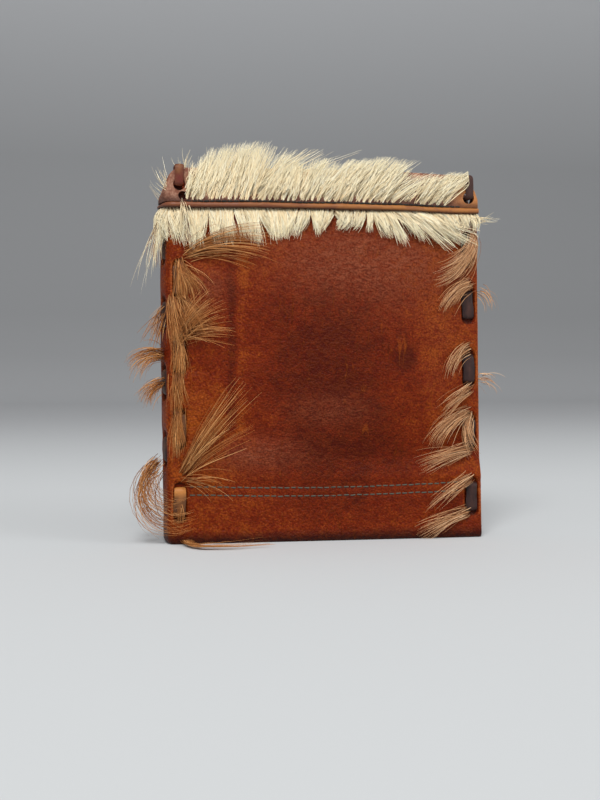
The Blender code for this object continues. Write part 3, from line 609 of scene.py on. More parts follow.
class Finish:
    """A material, with one way to add a node to it."""

    def __init__(self, name, **constants):
        self.material = bpy.data.materials.new(name)
        self.material.use_nodes = True
        self.tree = self.material.node_tree
        self.surface = self.tree.nodes["Principled BSDF"]
        for key, value in constants.items():
            self.surface.inputs[key.replace("_", " ")].default_value = value
        self.object_place = self.node("ShaderNodeTexCoord", output="Object")

    def feed(self, socket, value):
        if isinstance(value, Value):
            self.tree.links.new(value.socket, socket)
        elif isinstance(value, tuple) and len(value) == 3 and socket.type == "RGBA":
            socket.default_value = (*value, 1.0)
        else:
            socket.default_value = value

    def node(self, kind, settings=None, *values, output=0, **named):
        made = self.tree.nodes.new(kind)
        for key, value in (settings or {}).items():
            if key == "stops":
                ramp = made.color_ramp.elements
                for stop, (position, colour) in enumerate(value):
                    element = ramp[stop] if stop < 2 else ramp.new(position)
                    element.position = position
                    element.color = (*colour, 1.0)
            else:
                setattr(made, key, value)
        for index, value in enumerate(values):
            self.feed(made.inputs[index], value)
        for key, value in named.items():
            self.feed(made.inputs[key.replace("_", " ")], value)
        return Value(self, made.outputs[output])

    def noise(self, scale, detail=4.0, roughness=0.55, distortion=0.0, place=None):
        place = place or self.object_place
        return self.node(
            "ShaderNodeTexNoise", Vector=place, Scale=scale, Detail=detail, Roughness=roughness, Distortion=distortion
        )

    def cells(self, scale):
        return self.node("ShaderNodeTexVoronoi", Vector=self.object_place, Scale=scale)

    def stretched(self, x, y, z):
        return self.node("ShaderNodeMapping", Vector=self.object_place, Scale=(x, y, z))

    def axis(self, name):
        return self.node("ShaderNodeSeparateXYZ", None, self.object_place, output=name)

    def attribute(self, name):
        return self.node("ShaderNodeAttribute", {"attribute_name": name}, output="Fac")

    def band(self, value, low, high):
        return self.node("ShaderNodeMapRange", Value=value, From_Min=low, From_Max=high)

    def ramp(self, value, *stops):
        return self.node("ShaderNodeValToRGB", {"stops": stops}, value, output="Color")

    def mix(self, factor, first, second):
        made = self.tree.nodes.new("ShaderNodeMix")
        made.data_type = "RGBA"
        for socket, value in zip((0, 6, 7), (factor, first, second)):
            self.feed(made.inputs[socket], value)
        return Value(self, made.outputs[2])

    def paint(self, colour, roughness, height=None, depth=0.0002):
        self.feed(self.surface.inputs["Base Color"], colour)
        self.feed(self.surface.inputs["Roughness"], roughness)
        if height:
            bump = self.node("ShaderNodeBump", Strength=1.0, Distance=depth, Height=height, output="Normal")
            self.feed(self.surface.inputs["Normal"], bump)
        return self.material


def cover_finish():
    """Mottled orange-brown leather with a fine grain, painted pink sheen, worn edges that are partly a painted
    highlight, and painted shade at the foot, the spine, the slots and under the piping.
    """
    leather = Finish("cover leather", Specular_IOR_Level=0.09)
    tone = leather.attribute("tone")
    painted_sheen = leather.attribute("painted_sheen")
    wear_and_highlight = leather.attribute("wear_and_highlight")
    painted_shade = leather.attribute("painted_shade")
    mottle = leather.noise(95.0, 6.0, 0.62)
    blots = leather.noise(330.0, 5.0, 0.6, 0.4)
    specks = leather.noise(1500.0, 3.0, 0.6)
    grain = leather.cells(1700.0)
    pores = leather.cells(900.0)
    wrinkles = leather.noise(420.0, 5.0, 0.65, 1.2, leather.stretched(1.0, 1.0, 2.2))
    shade = tone + (mottle - 0.5) * 0.70 + (blots - 0.5) * 0.55 + (specks - 0.5) * 0.85
    colour = leather.ramp(shade, (0.12, LEATHER_DARK), (0.88, LEATHER_LIGHT), (0.48, LEATHER_MIDDLE))
    creased = leather.band(wrinkles, 0.42, 0.60)
    # Painted pink sheen, a painted highlight that is strongest on the wrinkles
    colour = leather.mix(painted_sheen * (0.35 + creased * 0.65), colour, LEATHER_PAINTED_SHEEN)
    # Wear, with a painted highlight on the crease ridge
    colour = leather.mix(leather.band(wear_and_highlight + (blots - 0.5) * 0.6, 0.35, 0.85), colour, LEATHER_WEAR_AND_HIGHLIGHT)
    # Painted shade at the foot, the slots, the spine and under the piping
    colour = leather.mix(leather.band(painted_shade + (blots - 0.5) * 0.5, 0.25, 0.85), colour, PAINTED_SHADE_DARK)
    colour = leather.mix(leather.band(grain, 0.35, 0.85) * 0.55, colour, LEATHER_DARK)
    veins = leather.noise(170.0, 3.0, 0.5, 0.6, leather.stretched(1.0, 1.0, 0.16))
    patches = leather.noise(130.0, 2.0)
    scratch = leather.band(abs(veins - 0.5), 0.010, 0.0) * leather.band(patches, 0.48, 0.62)
    colour = leather.mix(scratch * 0.35, colour, LEATHER_LIGHT)
    # Painted highlight on the wrinkles, where there is no pink sheen
    colour = leather.mix(creased * (1.0 - painted_sheen) * 0.11, colour, LEATHER_LIGHT)
    height = grain * -0.5 + scratch * 0.4 + wrinkles * (0.5 + painted_sheen * 1.1) + pores * -0.35 + specks * 0.25
    roughness = 0.46 + (blots - 0.5) * 0.25 + painted_sheen * 0.08 + painted_shade * -0.06
    return leather.paint(colour, roughness, height, 0.00042)


def inner_finish():
    leather = Finish("inner leather")
    mottle = leather.noise(160.0, 5.0)
    grain = leather.cells(1300.0)
    colour = leather.ramp(mottle, (0.3, INNER_DARK), (0.7, INNER_LIGHT))
    return leather.paint(colour, 0.62 + (mottle - 0.5) * 0.2, grain * -1.0 + mottle, 0.00015)


def lace_finish(name, dark, light, top=LACE_SHADED_TOP_RED):
    """Flat leather lace, rubbed along its middle and creased across."""
    lace = Finish(name, Specular_IOR_Level=0.3)
    rubbed = lace.attribute("middle")
    streaks = lace.noise(900.0, 5.0, 0.6, 0.3, lace.stretched(1.0, 1.0, 0.35))
    patches = lace.noise(260.0, 3.0)
    colour = lace.mix(lace.band(rubbed * 0.5 + (streaks - 0.5) * 1.2 + (patches - 0.5) * 1.1, -0.1, 0.75), dark, light)
    colour = lace.mix(lace.attribute("patch") * 0.9, colour, LACE_TAN)
    # Painted shade where the lace goes up over the band and the top edge: a darker red on the golden and the spine lace
    colour = lace.mix(lace.attribute("top") * lace.band(patches, 0.75, 0.35), colour, top)
    return lace.paint(colour, 0.50 + (streaks - 0.5) * 0.3, streaks + patches * 0.5, 0.00025)


def hide_finish():
    hide = Finish("hide band", Specular_IOR_Level=0.25)
    mottle = hide.noise(420.0, 5.0, 0.6)
    pores = hide.cells(1500.0)
    colour = hide.ramp(mottle + hide.band(pores, 0.2, 0.7) * -0.12, (0.30, HIDE_BROWN), (0.58, HIDE_PINK))
    along = hide.axis("X")
    colour = hide.mix(hide.band(along + (mottle - 0.5) * 0.006, 0.040, 0.047), colour, HIDE_ORANGE)
    # Painted shade at the band's foot, under the locks
    colour = hide.mix(hide.attribute("foot") * 0.75, colour, PAINTED_SHADE_DARK)
    colour = hide.mix(hide.attribute("haired") * 0.85, colour, FUR_SHADE)
    return hide.paint(colour, 0.60 + (mottle - 0.5) * 0.2, mottle + pores * -0.5, 0.00025)


def piping_finish():
    piping = Finish("piping leather", Specular_IOR_Level=0.3)
    along = piping.axis("X")
    mottle = piping.noise(500.0, 5.0, 0.6, 0.5, piping.stretched(0.4, 1.0, 1.0))
    colour = piping.mix(piping.band(along + (mottle - 0.5) * 0.03, -0.030, 0.025), PIPING_PINK, PIPING_TAN)
    colour = piping.mix(piping.band(mottle, 0.52, 0.34) * 0.7, colour, HIDE_BROWN)
    # Painted shade on the piping's underside
    colour = piping.mix(piping.attribute("under") * 0.85, colour, PAINTED_SHADE_DARK)
    return piping.paint(colour, 0.48 + (mottle - 0.5) * 0.3, mottle, 0.0003)


def hair_finish(name, root, tip, pale, sheen=0.0):
    """Hair that is darker at its root, with dark and pale strands mixed through it. sheen lights dense fur."""
    hair = Finish(name, Specular_IOR_Level=0.3, Sheen_Weight=sheen, Sheen_Roughness=0.35)
    hair.surface.inputs["Sheen Tint"].default_value = (*pale, 1.0)
    along = hair.attribute("along")
    tone = hair.attribute("tone")
    colour = hair.mix(hair.band(along * 0.6 + tone * 0.8, 0.10, 0.95), root, tip)
    colour = hair.mix(hair.band(tone, 0.62, 1.0) * 0.9, colour, pale)
    return hair.paint(colour, 0.45 + tone * 0.15)


def thread_finish(name, colour):
    thread = Finish(name)
    twist = thread.band(thread.noise(3500.0, 2.0), 0.3, 0.7)
    return thread.paint(thread.mix(twist * 0.6, colour, tuple(part * 0.45 for part in colour)), 0.75)


def floor_finish():
    """A pale floor that turns into a grey backdrop behind, painted lighter towards the back, with painted light and
    shade on the backdrop.
    """
    floor = Finish("floor", Specular_IOR_Level=0.1)
    back = floor.axis("Y")
    turned = floor.node("ShaderNodeMapRange", {"interpolation_type": "SMOOTHSTEP"}, back, 0.17, 0.85)
    # Painted light and shade on the backdrop: darkest between a sixth and half of its height, lighter at its foot and
    # top
    greys = [(share, (grey, 1.018 * grey, 1.045 * grey)) for share, grey in WALL_PAINTED_LIGHT_GREYS]
    wall = floor.ramp(floor.band(floor.axis("Z"), 0.0, WALL_HEIGHT), *greys)
    # Painted light: the floor lighter towards the back
    colour = floor.mix(floor.band(back, -0.30, 0.15), FLOOR_PALE, FLOOR_FAR_PAINTED_LIGHT)
    return floor.paint(floor.mix(turned, colour, wall), 0.9)


def patches_of(table, place, height):
    """The sum of soft round patches: run, height, half width, half height and strength."""
    return sum(
        strength * np.exp(-((place - run) / half_width) ** 2 - ((height - middle) / half_height) ** 2)
        for run, middle, half_width, half_height, strength in table
    )


def leather_masks(side, place, height, top, piece):
    """Tone, painted pink sheen, wear that is partly a painted highlight, and painted shade of the cover, as values at
    its corners.
    """
    slot = slot_distance(place, height)
    tone = 0.52 + patches_of(TONE_PATCHES, place, height)
    # Painted shade along the pressed line of the first dent, and a painted highlight beside it
    pressed = segment_distance(place, height, *DENTS[0][:4])
    beside = segment_distance(place - 0.0030, height, *DENTS[0][:4])
    tone += 0.14 * np.exp(-(beside / 0.0022) ** 2) - 0.34 * np.exp(-(pressed / 0.0014) ** 2)
    tone -= 0.14 * smooth((HEM_ROWS[1] - height) / 0.003) * smooth((place - 0.03) / 0.03)
    # Painted pink sheen, a painted highlight on the bulges and towards the top
    painted_sheen = patches_of(PAINTED_SHEEN_PATCHES, place, height)
    # A worn stripe on the crease that is partly a painted highlight on its ridge, and worn rims of the slots and of the
    # free edge
    wear_and_highlight = 0.60 * np.exp(-((place - 0.0004) / 0.0007) ** 2) * (0.7 + 0.3 * ripple(place * 0.0, height, 9, 0.02, 0.003))
    wear_and_highlight += 0.55 * np.exp(-((slot - 0.0005) / 0.0004) ** 2) * smooth((height - 0.004) / 0.002)
    wear_and_highlight += 0.65 * smooth((place - WIDTH + 0.0007) / 0.0005) * smooth((height - 0.002) / 0.003)
    # Painted shade: darker at the foot where the skin turns under, in and round the slots, in the trim hole, on the
    # spine's side and just under the piping
    painted_shade = 0.9 * smooth((0.0062 - height) / 0.0058) + smooth((0.0003 - slot) / 0.0006)
    painted_shade += 0.38 * smooth((-0.0012 - place) / 0.0015) * (1.0 - 0.35 * smooth((height - 0.06) / 0.03))
    painted_shade += patches_of([(*TRIM_HOLE, TRIM_HOLE_RADIUS, TRIM_HOLE_RADIUS, 1.2)], place, height)
    painted_shade += 0.35 * smooth((height - FRINGE_TOP + 0.0012) / 0.0012)
    set_attribute(piece, "tone", np.where(top, tone, 0.42))
    set_attribute(piece, "painted_sheen", np.clip(painted_sheen, 0.0, 1.0) * top * (1.0 if side < 0 else 0.6))
    set_attribute(piece, "wear_and_highlight", np.clip(wear_and_highlight, 0.0, 1.0) * top)
    set_attribute(piece, "painted_shade", np.clip(painted_shade, 0.0, 1.0) * top)


def skin_columns():
    """Places along the skin, close together at the lacing and the crease."""
    columns = spaced(-CREASE_DEPTH, 0.0080, 0.00045)
    columns += spaced(0.0080, WIDTH - 0.0080, 0.0012)[1:]
    columns += spaced(WIDTH - 0.0080, WIDTH - FREE_CORNER / 20, 0.00045)[1:]
    return columns + [WIDTH - 0.0002, WIDTH]


def half_body(side):
    """The body that the pieces of a half ride on."""
    return "front_half" if side < 0 else "back_half"


def trim_share(place):
    """The band and the piping lie flatter on the spine than on the halves."""
    return 0.45 + 0.55 * smooth((place + 0.0035) / 0.0055)


def finish_over_crease(piece, side, material, slot, *replaced):
    """Finishes a piece of the skin that runs round the crease onto the spine: gives it its material and smooth shading,
    hides the part's pieces it replaces and bakes its place.
    """
    finish_piece(piece, material)
    smooth_shading(piece)
    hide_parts(*replaced)
    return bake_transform(piece)


def fold_rows(degrees, heights):
    """Rows round the fold at the foot and then up: the outer face's height and inset, and the inner face's."""
    rows = []
    for angle in np.radians(degrees):
        up, out = math.sin(angle), math.cos(angle)
        low = FOLD_RADIUS * (1.0 - min(1.0, up / math.sin(FLAT_ANGLE)))
        rows.append((low, FOLD_RADIUS * (1.0 - out), FOLD_RADIUS - FOLD_BORE * up, FOLD_RADIUS - FOLD_BORE * out))
    return np.array(rows + [(height, 0.0, height, LEATHER) for height in heights])


def add_cover(prefix, side, material):
    """The cover's skin from the middle of the spine to the free edge, with the outer part of its fold."""
    shares = np.linspace(0.0, 1.0, 16)[1:]
    heights = spaced(FOLD_RADIUS, PIPING_HEIGHT, SKIN_STEP) + [PIPING_HEIGHT] * len(shares)
    rows = fold_rows((90.0, 67.5, 52.0, 38.0, 24.0, 12.0), heights)
    row_height, row_inset, inner_height, inner_inset = rows.T
    row_share = np.concatenate((np.zeros(len(rows) - len(shares)), shares))

    def lifted(place, row, base):
        return base[row] + row_share[row] * (top_height(place) - PIPING_HEIGHT)

    def outer(place, row):
        height = lifted(place, row, row_height)
        slot = slot_distance(place, height)
        dip = GROOVE * (1.0 - smooth((slot + 0.00025) / RIM))
        dip = dip + SLOT_SINK * np.exp(-(np.maximum(slot, 0.0) / SLOT_SINK_REACH) ** 2)
        dip = dip + EDGE_SINK * (smooth((place - WIDTH + 0.0006) / 0.0006) + smooth((row_share[row] - 0.93) / 0.07))
        return skin_point(side, place, height, relief(side, place, height) - dip, row_inset[row])

    def inner(place, row):
        return skin_point(side, place, lifted(place, row, inner_height), 0.0, inner_inset[row])

    across = np.array(skin_columns() if side < 0 else skin_columns()[::-1])
    piece, a, b, top = add_sheet(prefix + "_cover_skin", across, np.arange(len(rows)), outer, inner)
    leather_masks(side, a, lifted(a, b, row_height), top, piece)
    cut_holes(piece, top_holes(), side)
    cut_holes(piece, lace_holes(LACE_LINES), side, 0.0, PUNCH_RADIUS)
    return finish_over_crease(piece, side, material, "cover_leather", prefix + "_cover", "spine_cover")


def add_hem_turn(prefix, side, material):
    """The inner part of the fold at the foot, and the leaf that is turned up inside."""
    rows = fold_rows((90.0, 67.5, 50.0, 34.0, 17.0, 0.0), spaced(FOLD_RADIUS, HEM_HEIGHT, HEM_STEP)[1:])
    outer_height, outer_out, inner_height, inner_out = rows.T

    def point(height, out, run):
        shift = 1.0 - TAPER / WIDTH * height / HEIGHT
        return np.stack((CREASE_X + run * shift, side * (HEM_IN + out), height), axis=-1)

    across = np.array(spaced(0.0018, WIDTH - 0.0001, HEM_STEP))
    piece, a, *_ = add_sheet(
        prefix + "_hem_turn",
        across if side > 0 else across[::-1],
        np.arange(len(rows)),
        lambda run, row: point(outer_height[row], outer_out[row], run),
        lambda run, row: point(inner_height[row], inner_out[row], run),
    )
    for name in ("tone", "painted_sheen", "wear_and_highlight", "painted_shade"):
        set_attribute(piece, name, np.full(len(a), 0.45 if name == "tone" else 0.0))
    holes = lace_holes([(line, stitches[:1]) for line, stitches in LACE_LINES[:2]])
    cut_holes(piece, holes, side, CREASE_DEPTH - HEM_IN - LEATHER / 2)
    finish_piece(piece, material)
    smooth_shading(piece)
    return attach(piece, half_body(side))


def rounded(corner_points, reach, steps=5):
    """The route with each inner corner bent."""
    route = [corner_points[0]]
    for before, corner, after in zip(corner_points, corner_points[1:], corner_points[2:]):
        back, on = before - corner, after - corner
        length = min(reach, 0.47 * np.linalg.norm(back), 0.47 * np.linalg.norm(on))
        start = corner + back / np.linalg.norm(back) * length
        end = corner + on / np.linalg.norm(on) * length
        for share in np.linspace(0.0, 1.0, steps):
            first, second = start + (corner - start) * share, corner + (end - corner) * share
            route.append(first + (second - first) * share)
    route.append(corner_points[-1])
    return np.array(route)


def refined(route, step):
    """More points on the route's long stretches."""
    points = [route[0]]
    for before, after in zip(route, route[1:]):
        count = max(1, int(np.linalg.norm(after - before) / step))
        points += [before + (after - before) * share for share in np.linspace(0.0, 1.0, count + 1)[1:]]
    return np.array(points)


def lace_route(side, line, stitches, inner, top_end):
    """The lace's middle line as (distance out of the skin, height), in and out of its holes."""
    radius = LACE_HOLE / 2
    half = LACE_THICKNESS / 2
    outside = -LACE_GAP - half
    points = [(inner(stitches[0][0]), stitches[0][0] + radius - LACE_TAIL)]
    for low, high in stitches:
        first, last = low + radius, high - radius
        if abs(inner(first) - points[-1][0]) > LACE_GAP:
            points += [(points[-1][0], HEM_HEIGHT + LACE_THICKNESS), (inner(first), HEM_HEIGHT + 3 * LACE_THICKNESS)]
        middle = (first + last) / 2
        points += [(inner(first), first), (outside, first), (outside + 0.00025, middle), (outside, last)]
        points += [(inner(last), last)]
    points += top_end or [(points[-1][0], points[-1][1] + LACE_TAIL)]
    return refined(rounded(np.array(points), 0.0011), 0.0012)


def add_lace(name, side, line, stitches, inner, top_end, body, material, seed):
    """A flat lace with rounded edges, which wanders a little in its slots."""
    route = lace_route(side, line, stitches, inner, top_end)
    way = np.gradient(route, axis=0)
    way /= np.linalg.norm(way, axis=1)[:, None]
    steps = np.arange(len(route))
    wander = 0.00022 * ripple(steps, 0.0, seed, 40.0, 6.0, 6)
    wide = LACE_WIDTH / 2 * (1.0 + 0.07 * ripple(steps, 0.0, seed + 1, 30.0, 5.0, 6))
    wide = wide * (1.0 - 0.28 * smooth((route[:, 1] - BAND_FOOT) / 0.003))
    tilt = 0.12 * ripple(steps, 0.0, seed + 2, 36.0, 8.0, 6) + np.random.default_rng(seed).uniform(-0.02, 0.02)

    def face(towards):
        def point(a, b):
            rounding = (1.0 - 0.55 * np.abs(a) ** 4) * LACE_THICKNESS / 2
            out = route[b, 0] + way[b, 1] * rounding * towards + tilt[b] * a * 0.0004
            height = route[b, 1] - way[b, 0] * rounding * towards
            beside = wander[b] + a * wide[b]
            made = skin_point(side, np.full_like(beside, line), np.minimum(height, HEIGHT))
            if line < 0:
                slope = 2.0 * SPINE_BULGE * (CREASE_DEPTH + line) / CREASE_DEPTH ** 2
                made += np.stack((-out + slope * beside, side * beside, height * 0.0), axis=-1)
            else:
                made += np.stack((beside, side * out, height * 0.0), axis=-1)
            made[..., 2] = height
            return made
        return point

    across = np.linspace(-1.0, 1.0, 9)
    across = across if side < 0 else across[::-1]
    piece, a, b, _ = add_sheet(name, across, steps, face(1.0), face(-1.0))
    set_attribute(piece, "middle", 1.0 - np.abs(a))
    patched = (route[b, 1] > TAN_PATCH[0]) & (route[b, 1] < TAN_PATCH[1]) & (line == LACE_INSET)
    set_attribute(piece, "patch", patched * 1.0)
    set_attribute(piece, "top", smooth((route[b, 1] - BAND_FOOT) / 0.002))
    finish_piece(piece, material)
    smooth_shading(piece, 60.0)
    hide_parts(name.replace("_strip", ""))
    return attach(piece, body)


def add_laces(prefix, side, gold, dark, shaded):
    half = LACE_THICKNESS / 2
    over = LACE_GAP + half
    free_line, crease_line = WIDTH - LACE_INSET, LACE_INSET

    def behind_panel(height):
        return PANEL_IN - over - plain_depth(free_line, height)

    def behind_cover(height):
        inside = HEM_IN if height < HEM_HEIGHT else CREASE_DEPTH - LEATHER
        return inside - over - CREASE_DEPTH

    def top_end(line, inner):
        hole = top_height(line) - TOP_HOLE_DROP
        edge = max(top_height(line - LACE_WIDTH / 2), top_height(line + LACE_WIDTH / 2))
        out = SEAT_GAP + HIDE + over
        back = inner(hole)
        return [(back, hole), (out, hole), (out, edge + over), (back, edge + over), (back, edge - TOP_TAIL)]

    def behind_spine(height):
        return -LEATHER - 2 * SEAT_GAP - half

    body = half_body(side)
    add_lace(prefix + "_lace_free_edge_strip", side, free_line, FREE_STITCHES, behind_panel,
             top_end(free_line, behind_panel), body, dark, 21 + side)
    add_lace(prefix + "_lace_spine_side_strip", side, crease_line, CREASE_STITCHES, behind_cover,
             top_end(crease_line, behind_cover), body, gold, 31 + side)
    add_lace(f"spine_lace_{prefix}_strip", side, SPINE_LACE_PLACE, SPINE_STITCHES, behind_spine, [], "spine", shaded,
             41 + side)


def add_band(prefix, side, material):
    """The hide band above the piping, over the crease to the middle of the spine."""
    columns = np.array(spaced(-CREASE_DEPTH, WIDTH, TRIM_STEP))

    def face(out, rounding):
        def point(place, share):
            height = BAND_FOOT + share * (top_height(place) - BAND_FOOT)
            edge = rounding * (smooth((share - 0.85) / 0.15) + smooth((place - WIDTH + 0.0012) / 0.0012))
            uneven = 0.00012 * ripple(place, height, 61 + side, 0.012, 0.002)
            thick = trim_share(place) * (out - 0.0004 * edge + uneven * (out > SEAT_GAP))
            return skin_point(side, place, height, thick)
        return point

    across = columns if side < 0 else columns[::-1]
    outer, inner = face(SEAT_GAP + HIDE, 1.0), face(SEAT_GAP, 0.0)
    piece, *_ = add_sheet(prefix + "_hide_band", across, np.linspace(0.0, 1.0, 14), outer, inner)
    cut_holes(piece, top_holes(), side, -SEAT_GAP - HIDE / 2)
    cut_holes(piece, [TRIM_HOLE], side, -SEAT_GAP - HIDE / 2, TRIM_HOLE_RADIUS)
    place = corners(piece)
    # Painted shade towards the band's foot
    set_attribute(piece, "foot", 1.0 - smooth((place[:, 2] - BAND_FOOT) / 0.0028))
    run = place[:, 0] - CREASE_X
    haired = smooth((run - 0.0085) / 0.003) * (1.0 - smooth((run - 0.068) / 0.006))
    set_attribute(piece, "haired", haired * smooth((place[:, 2] - BAND_FOOT - 0.0015) / 0.003))
    return finish_over_crease(piece, side, material, "hide_band", prefix + "_fur_band", "spine_fur_band")


def add_piping(prefix, side, material):
    """The rolled piping, as a round grid laid along the skin."""
    columns = np.array(spaced(-CREASE_DEPTH, WIDTH, TRIM_STEP))
    uneven = 1.0 + 0.10 * ripple(columns, 0.0, 71 + side, 0.016, 0.003)
    piece, shape, ring = add_ringed_cylinder(PIPING_SIDES, len(columns))
    piece.name = prefix + "_rolled_piping"
    place = columns[ring]
    radius = PIPING_RADIUS * 1.08 * uneven[ring] * trim_share(place)
    lift = SEAT_GAP * trim_share(place) + radius * (1.0 + shape[:, 1])
    set_corners(piece, skin_point(side, place, PIPING_HEIGHT + shape[:, 0] * radius, lift))
    # Painted shade on the underside of the piping
    set_attribute(piece, "under", smooth((-0.25 - shape[:, 0]) / 0.6))
    pick(piece)
    reshape(lambda: bpy.ops.mesh.normals_make_consistent(inside=False))
    return finish_over_crease(piece, side, material, "piping_leather", prefix + "_piping", "spine_piping")


def add_strands(name, paths, radii, sides=3, facing=None):
    """Copies of one strand, each laid along its own path: paths is (strands, points, 3), radii is (strands, points).

    Dense fur is shaded towards facing, as one coat."""
    count, points, _ = paths.shape
    strand, shape, step = add_ringed_cylinder(sides, points)
    faces = [list(face.vertices) for face in strand.data.polygons]
    bpy.data.objects.remove(strand)
    way = np.gradient(paths, axis=1)
    way /= np.linalg.norm(way, axis=2)[..., None] + 1e-12
    chance = np.random.default_rng(len(name) + count)
    first = np.cross(way, chance.normal(size=(count, 1, 3)))
    first /= np.linalg.norm(first, axis=2)[..., None] + 1e-12
    second = np.cross(way, first)
    round_way = shape[None, :, 0, None] * first[:, step] + shape[None, :, 1, None] * second[:, step]
    placed = paths[:, step] + radii[:, step, None] * round_way
    starts = np.cumsum([0] + [len(face) for face in faces])[:-1]
    loops = np.concatenate([np.array(face) for face in faces])
    base = np.arange(count)[:, None]
    mesh = bpy.data.meshes.new(name)
    mesh.vertices.add(count * len(shape))
    mesh.loops.add(count * len(loops))
    mesh.polygons.add(count * len(faces))
    mesh.vertices.foreach_set("co", placed.astype(np.float32).ravel())
    mesh.loops.foreach_set("vertex_index", (loops[None, :] + base * len(shape)).astype(np.int32).ravel())
    mesh.polygons.foreach_set("loop_start", (starts[None, :] + base * len(loops)).astype(np.int32).ravel())
    mesh.update(calc_edges=True)
    mesh.validate()
    piece = bpy.data.objects.new(name, mesh)
    bpy.context.scene.collection.objects.link(piece)
    set_attribute(piece, "along", np.tile(step / (points - 1), count))
    set_attribute(piece, "tone", np.repeat(chance.uniform(0.0, 1.0, count), len(shape)))
    mesh.shade_smooth()
    if facing:
        normals = 0.6 * round_way + np.array(facing)
        normals /= np.linalg.norm(normals, axis=2)[..., None]
        mesh.normals_split_custom_set_from_vertices(normals.reshape(-1, 3).tolist())
    return piece


def add_stitches(name, side, end, height, material, length=0.0017, radius=0.00022, out=0.0):
    """A row of stitches from this far in to as far from the free edge: each dips into the skin at both of its ends."""
    starts = np.arange(end, WIDTH - end - length, length + THREAD_GAP)[:, None]
    share = np.array([0.0, 0.12, 0.35, 0.65, 0.88, 1.0])
    dip = np.array([-0.0005, 0.00002, 0.00012, 0.00012, 0.00002, -0.0005])
    place = starts + share * length
    chance = np.random.default_rng(round(height(0.05) * 1e5) + side)
    high = height(place) + chance.normal(0.0, 0.00005, starts.shape)
    high = high + chance.normal(0.0, 0.00008, starts.shape) * (share - 0.5)
    paths = skin_point(side, place, high, relief(side, place, high) + dip + out)
    piece = finish_piece(add_strands(name, paths, np.full(place.shape, radius), 6), material)
    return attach(piece, half_body(side))


def outline_at(points, run):
    """Height of the fur's outline at this run."""
    runs, heights = zip(*points)
    return np.interp(run, runs, heights)


def locks_of(chance, count, start, end):
    """Middles of the locks along the trim, unevenly spaced."""
    spots = np.linspace(start, end, count) + chance.normal(0.0, 0.25 * (end - start) / count, count)
    return np.sort(np.clip(spots, start, end))


def add_fur(name, paths, share, chance, material, facing, body, replaced):
    """Tapered cream strands along the paths, shaded as one coat, in place of the part's solid fur."""
    radii = FUR_RADIUS * (1.0 - 0.8 * share) * chance.uniform(0.75, 1.25, (len(paths), 1))
    piece = add_strands(name, paths, radii, 3, facing)
    finish_piece(piece, material)
    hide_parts(replaced)
    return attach(piece, body)


def add_standing_fur(prefix, side, material, count):
    """Cream fur that grows from the hide band and leans towards the free edge, gathered in locks."""
    chance = np.random.default_rng(101 + side)
    run = chance.uniform(FUR_START, FUR_END, count)
    bare = (run > BARE_PATCH[0]) & (run < BARE_PATCH[1]) & (chance.uniform(size=count) < BARE_SHARE)
    run = run[~bare]
    count = len(run)
    spots = locks_of(chance, FUR_LOCKS, FUR_START, FUR_END)
    lock = np.abs(run[:, None] - spots).argmin(axis=1)
    lock_lean = chance.normal(0.0, 9.0, len(spots))
    lock_reach = chance.uniform(0.93, 1.04, len(spots))
    lock_lift = chance.uniform(0.0012, 0.0022, len(spots))
    low = chance.beta(1.0, 1.5, count)
    lean = FUR_LEAN + (FUR_END_LEAN - FUR_LEAN) * run / WIDTH
    lean = np.radians(lean + lock_lean[lock] + chance.normal(0.0, 5.0, count))
    tips = outline_at(FUR_TIPS, run + 0.004)
    foot = BAND_FOOT + 0.0002 + low * 0.55 * (np.minimum(tips, HEIGHT) - BAND_FOOT)
    short = chance.uniform(size=count) < 0.35
    reach = np.where(short, chance.uniform(0.35, 0.8, count), chance.uniform(0.84, 1.03, count)) * lock_reach[lock]
    tip_height = BAND_FOOT + (tips - BAND_FOOT) * np.clip(reach, 0.2, 1.03)
    length = np.maximum(tip_height - foot, 0.0025) / np.cos(lean)
    share = np.linspace(0.0, 1.0, FUR_POINTS)
    run = run + (spots[lock] - run) * 0.55 * (1.0 - smooth(low / 0.4))
    over, up = (np.sin(lean) * length)[:, None], (np.cos(lean) * length)[:, None]
    clump = 0.62 * share ** 1.4
    along = (run[:, None] + over * (0.75 * share + 0.25 * share ** 2)) * (1.0 - clump)
    along = along + (spots[lock][:, None] + over * share) * clump
    high = foot[:, None] + up * (1.08 * share - 0.08 * share ** 2)
    bow = (lock_lift[lock] + chance.uniform(-0.0004, 0.0010, count))[:, None]
    lift = SEAT_GAP + HIDE - 0.0002 + bow * np.sin(math.pi * 0.8 * share) + 0.0004 * low[:, None] * share
    lift = lift - 0.25 * np.maximum(high - HEIGHT, 0.0)
    along = np.clip(along + 0.00025 * np.sin(9.0 * share + chance.uniform(0, 6, (count, 1))), 0.001, WIDTH - 0.0035)
    paths = skin_point(side, along, np.minimum(high, HEIGHT), lift)
    paths[..., 2] = high
    facing = (0.0, 0.55 * side, 0.80)
    name = prefix + "_standing_fur"
    return add_fur(name, paths, share, chance, material, facing, half_body(side), prefix + "_fur_top")


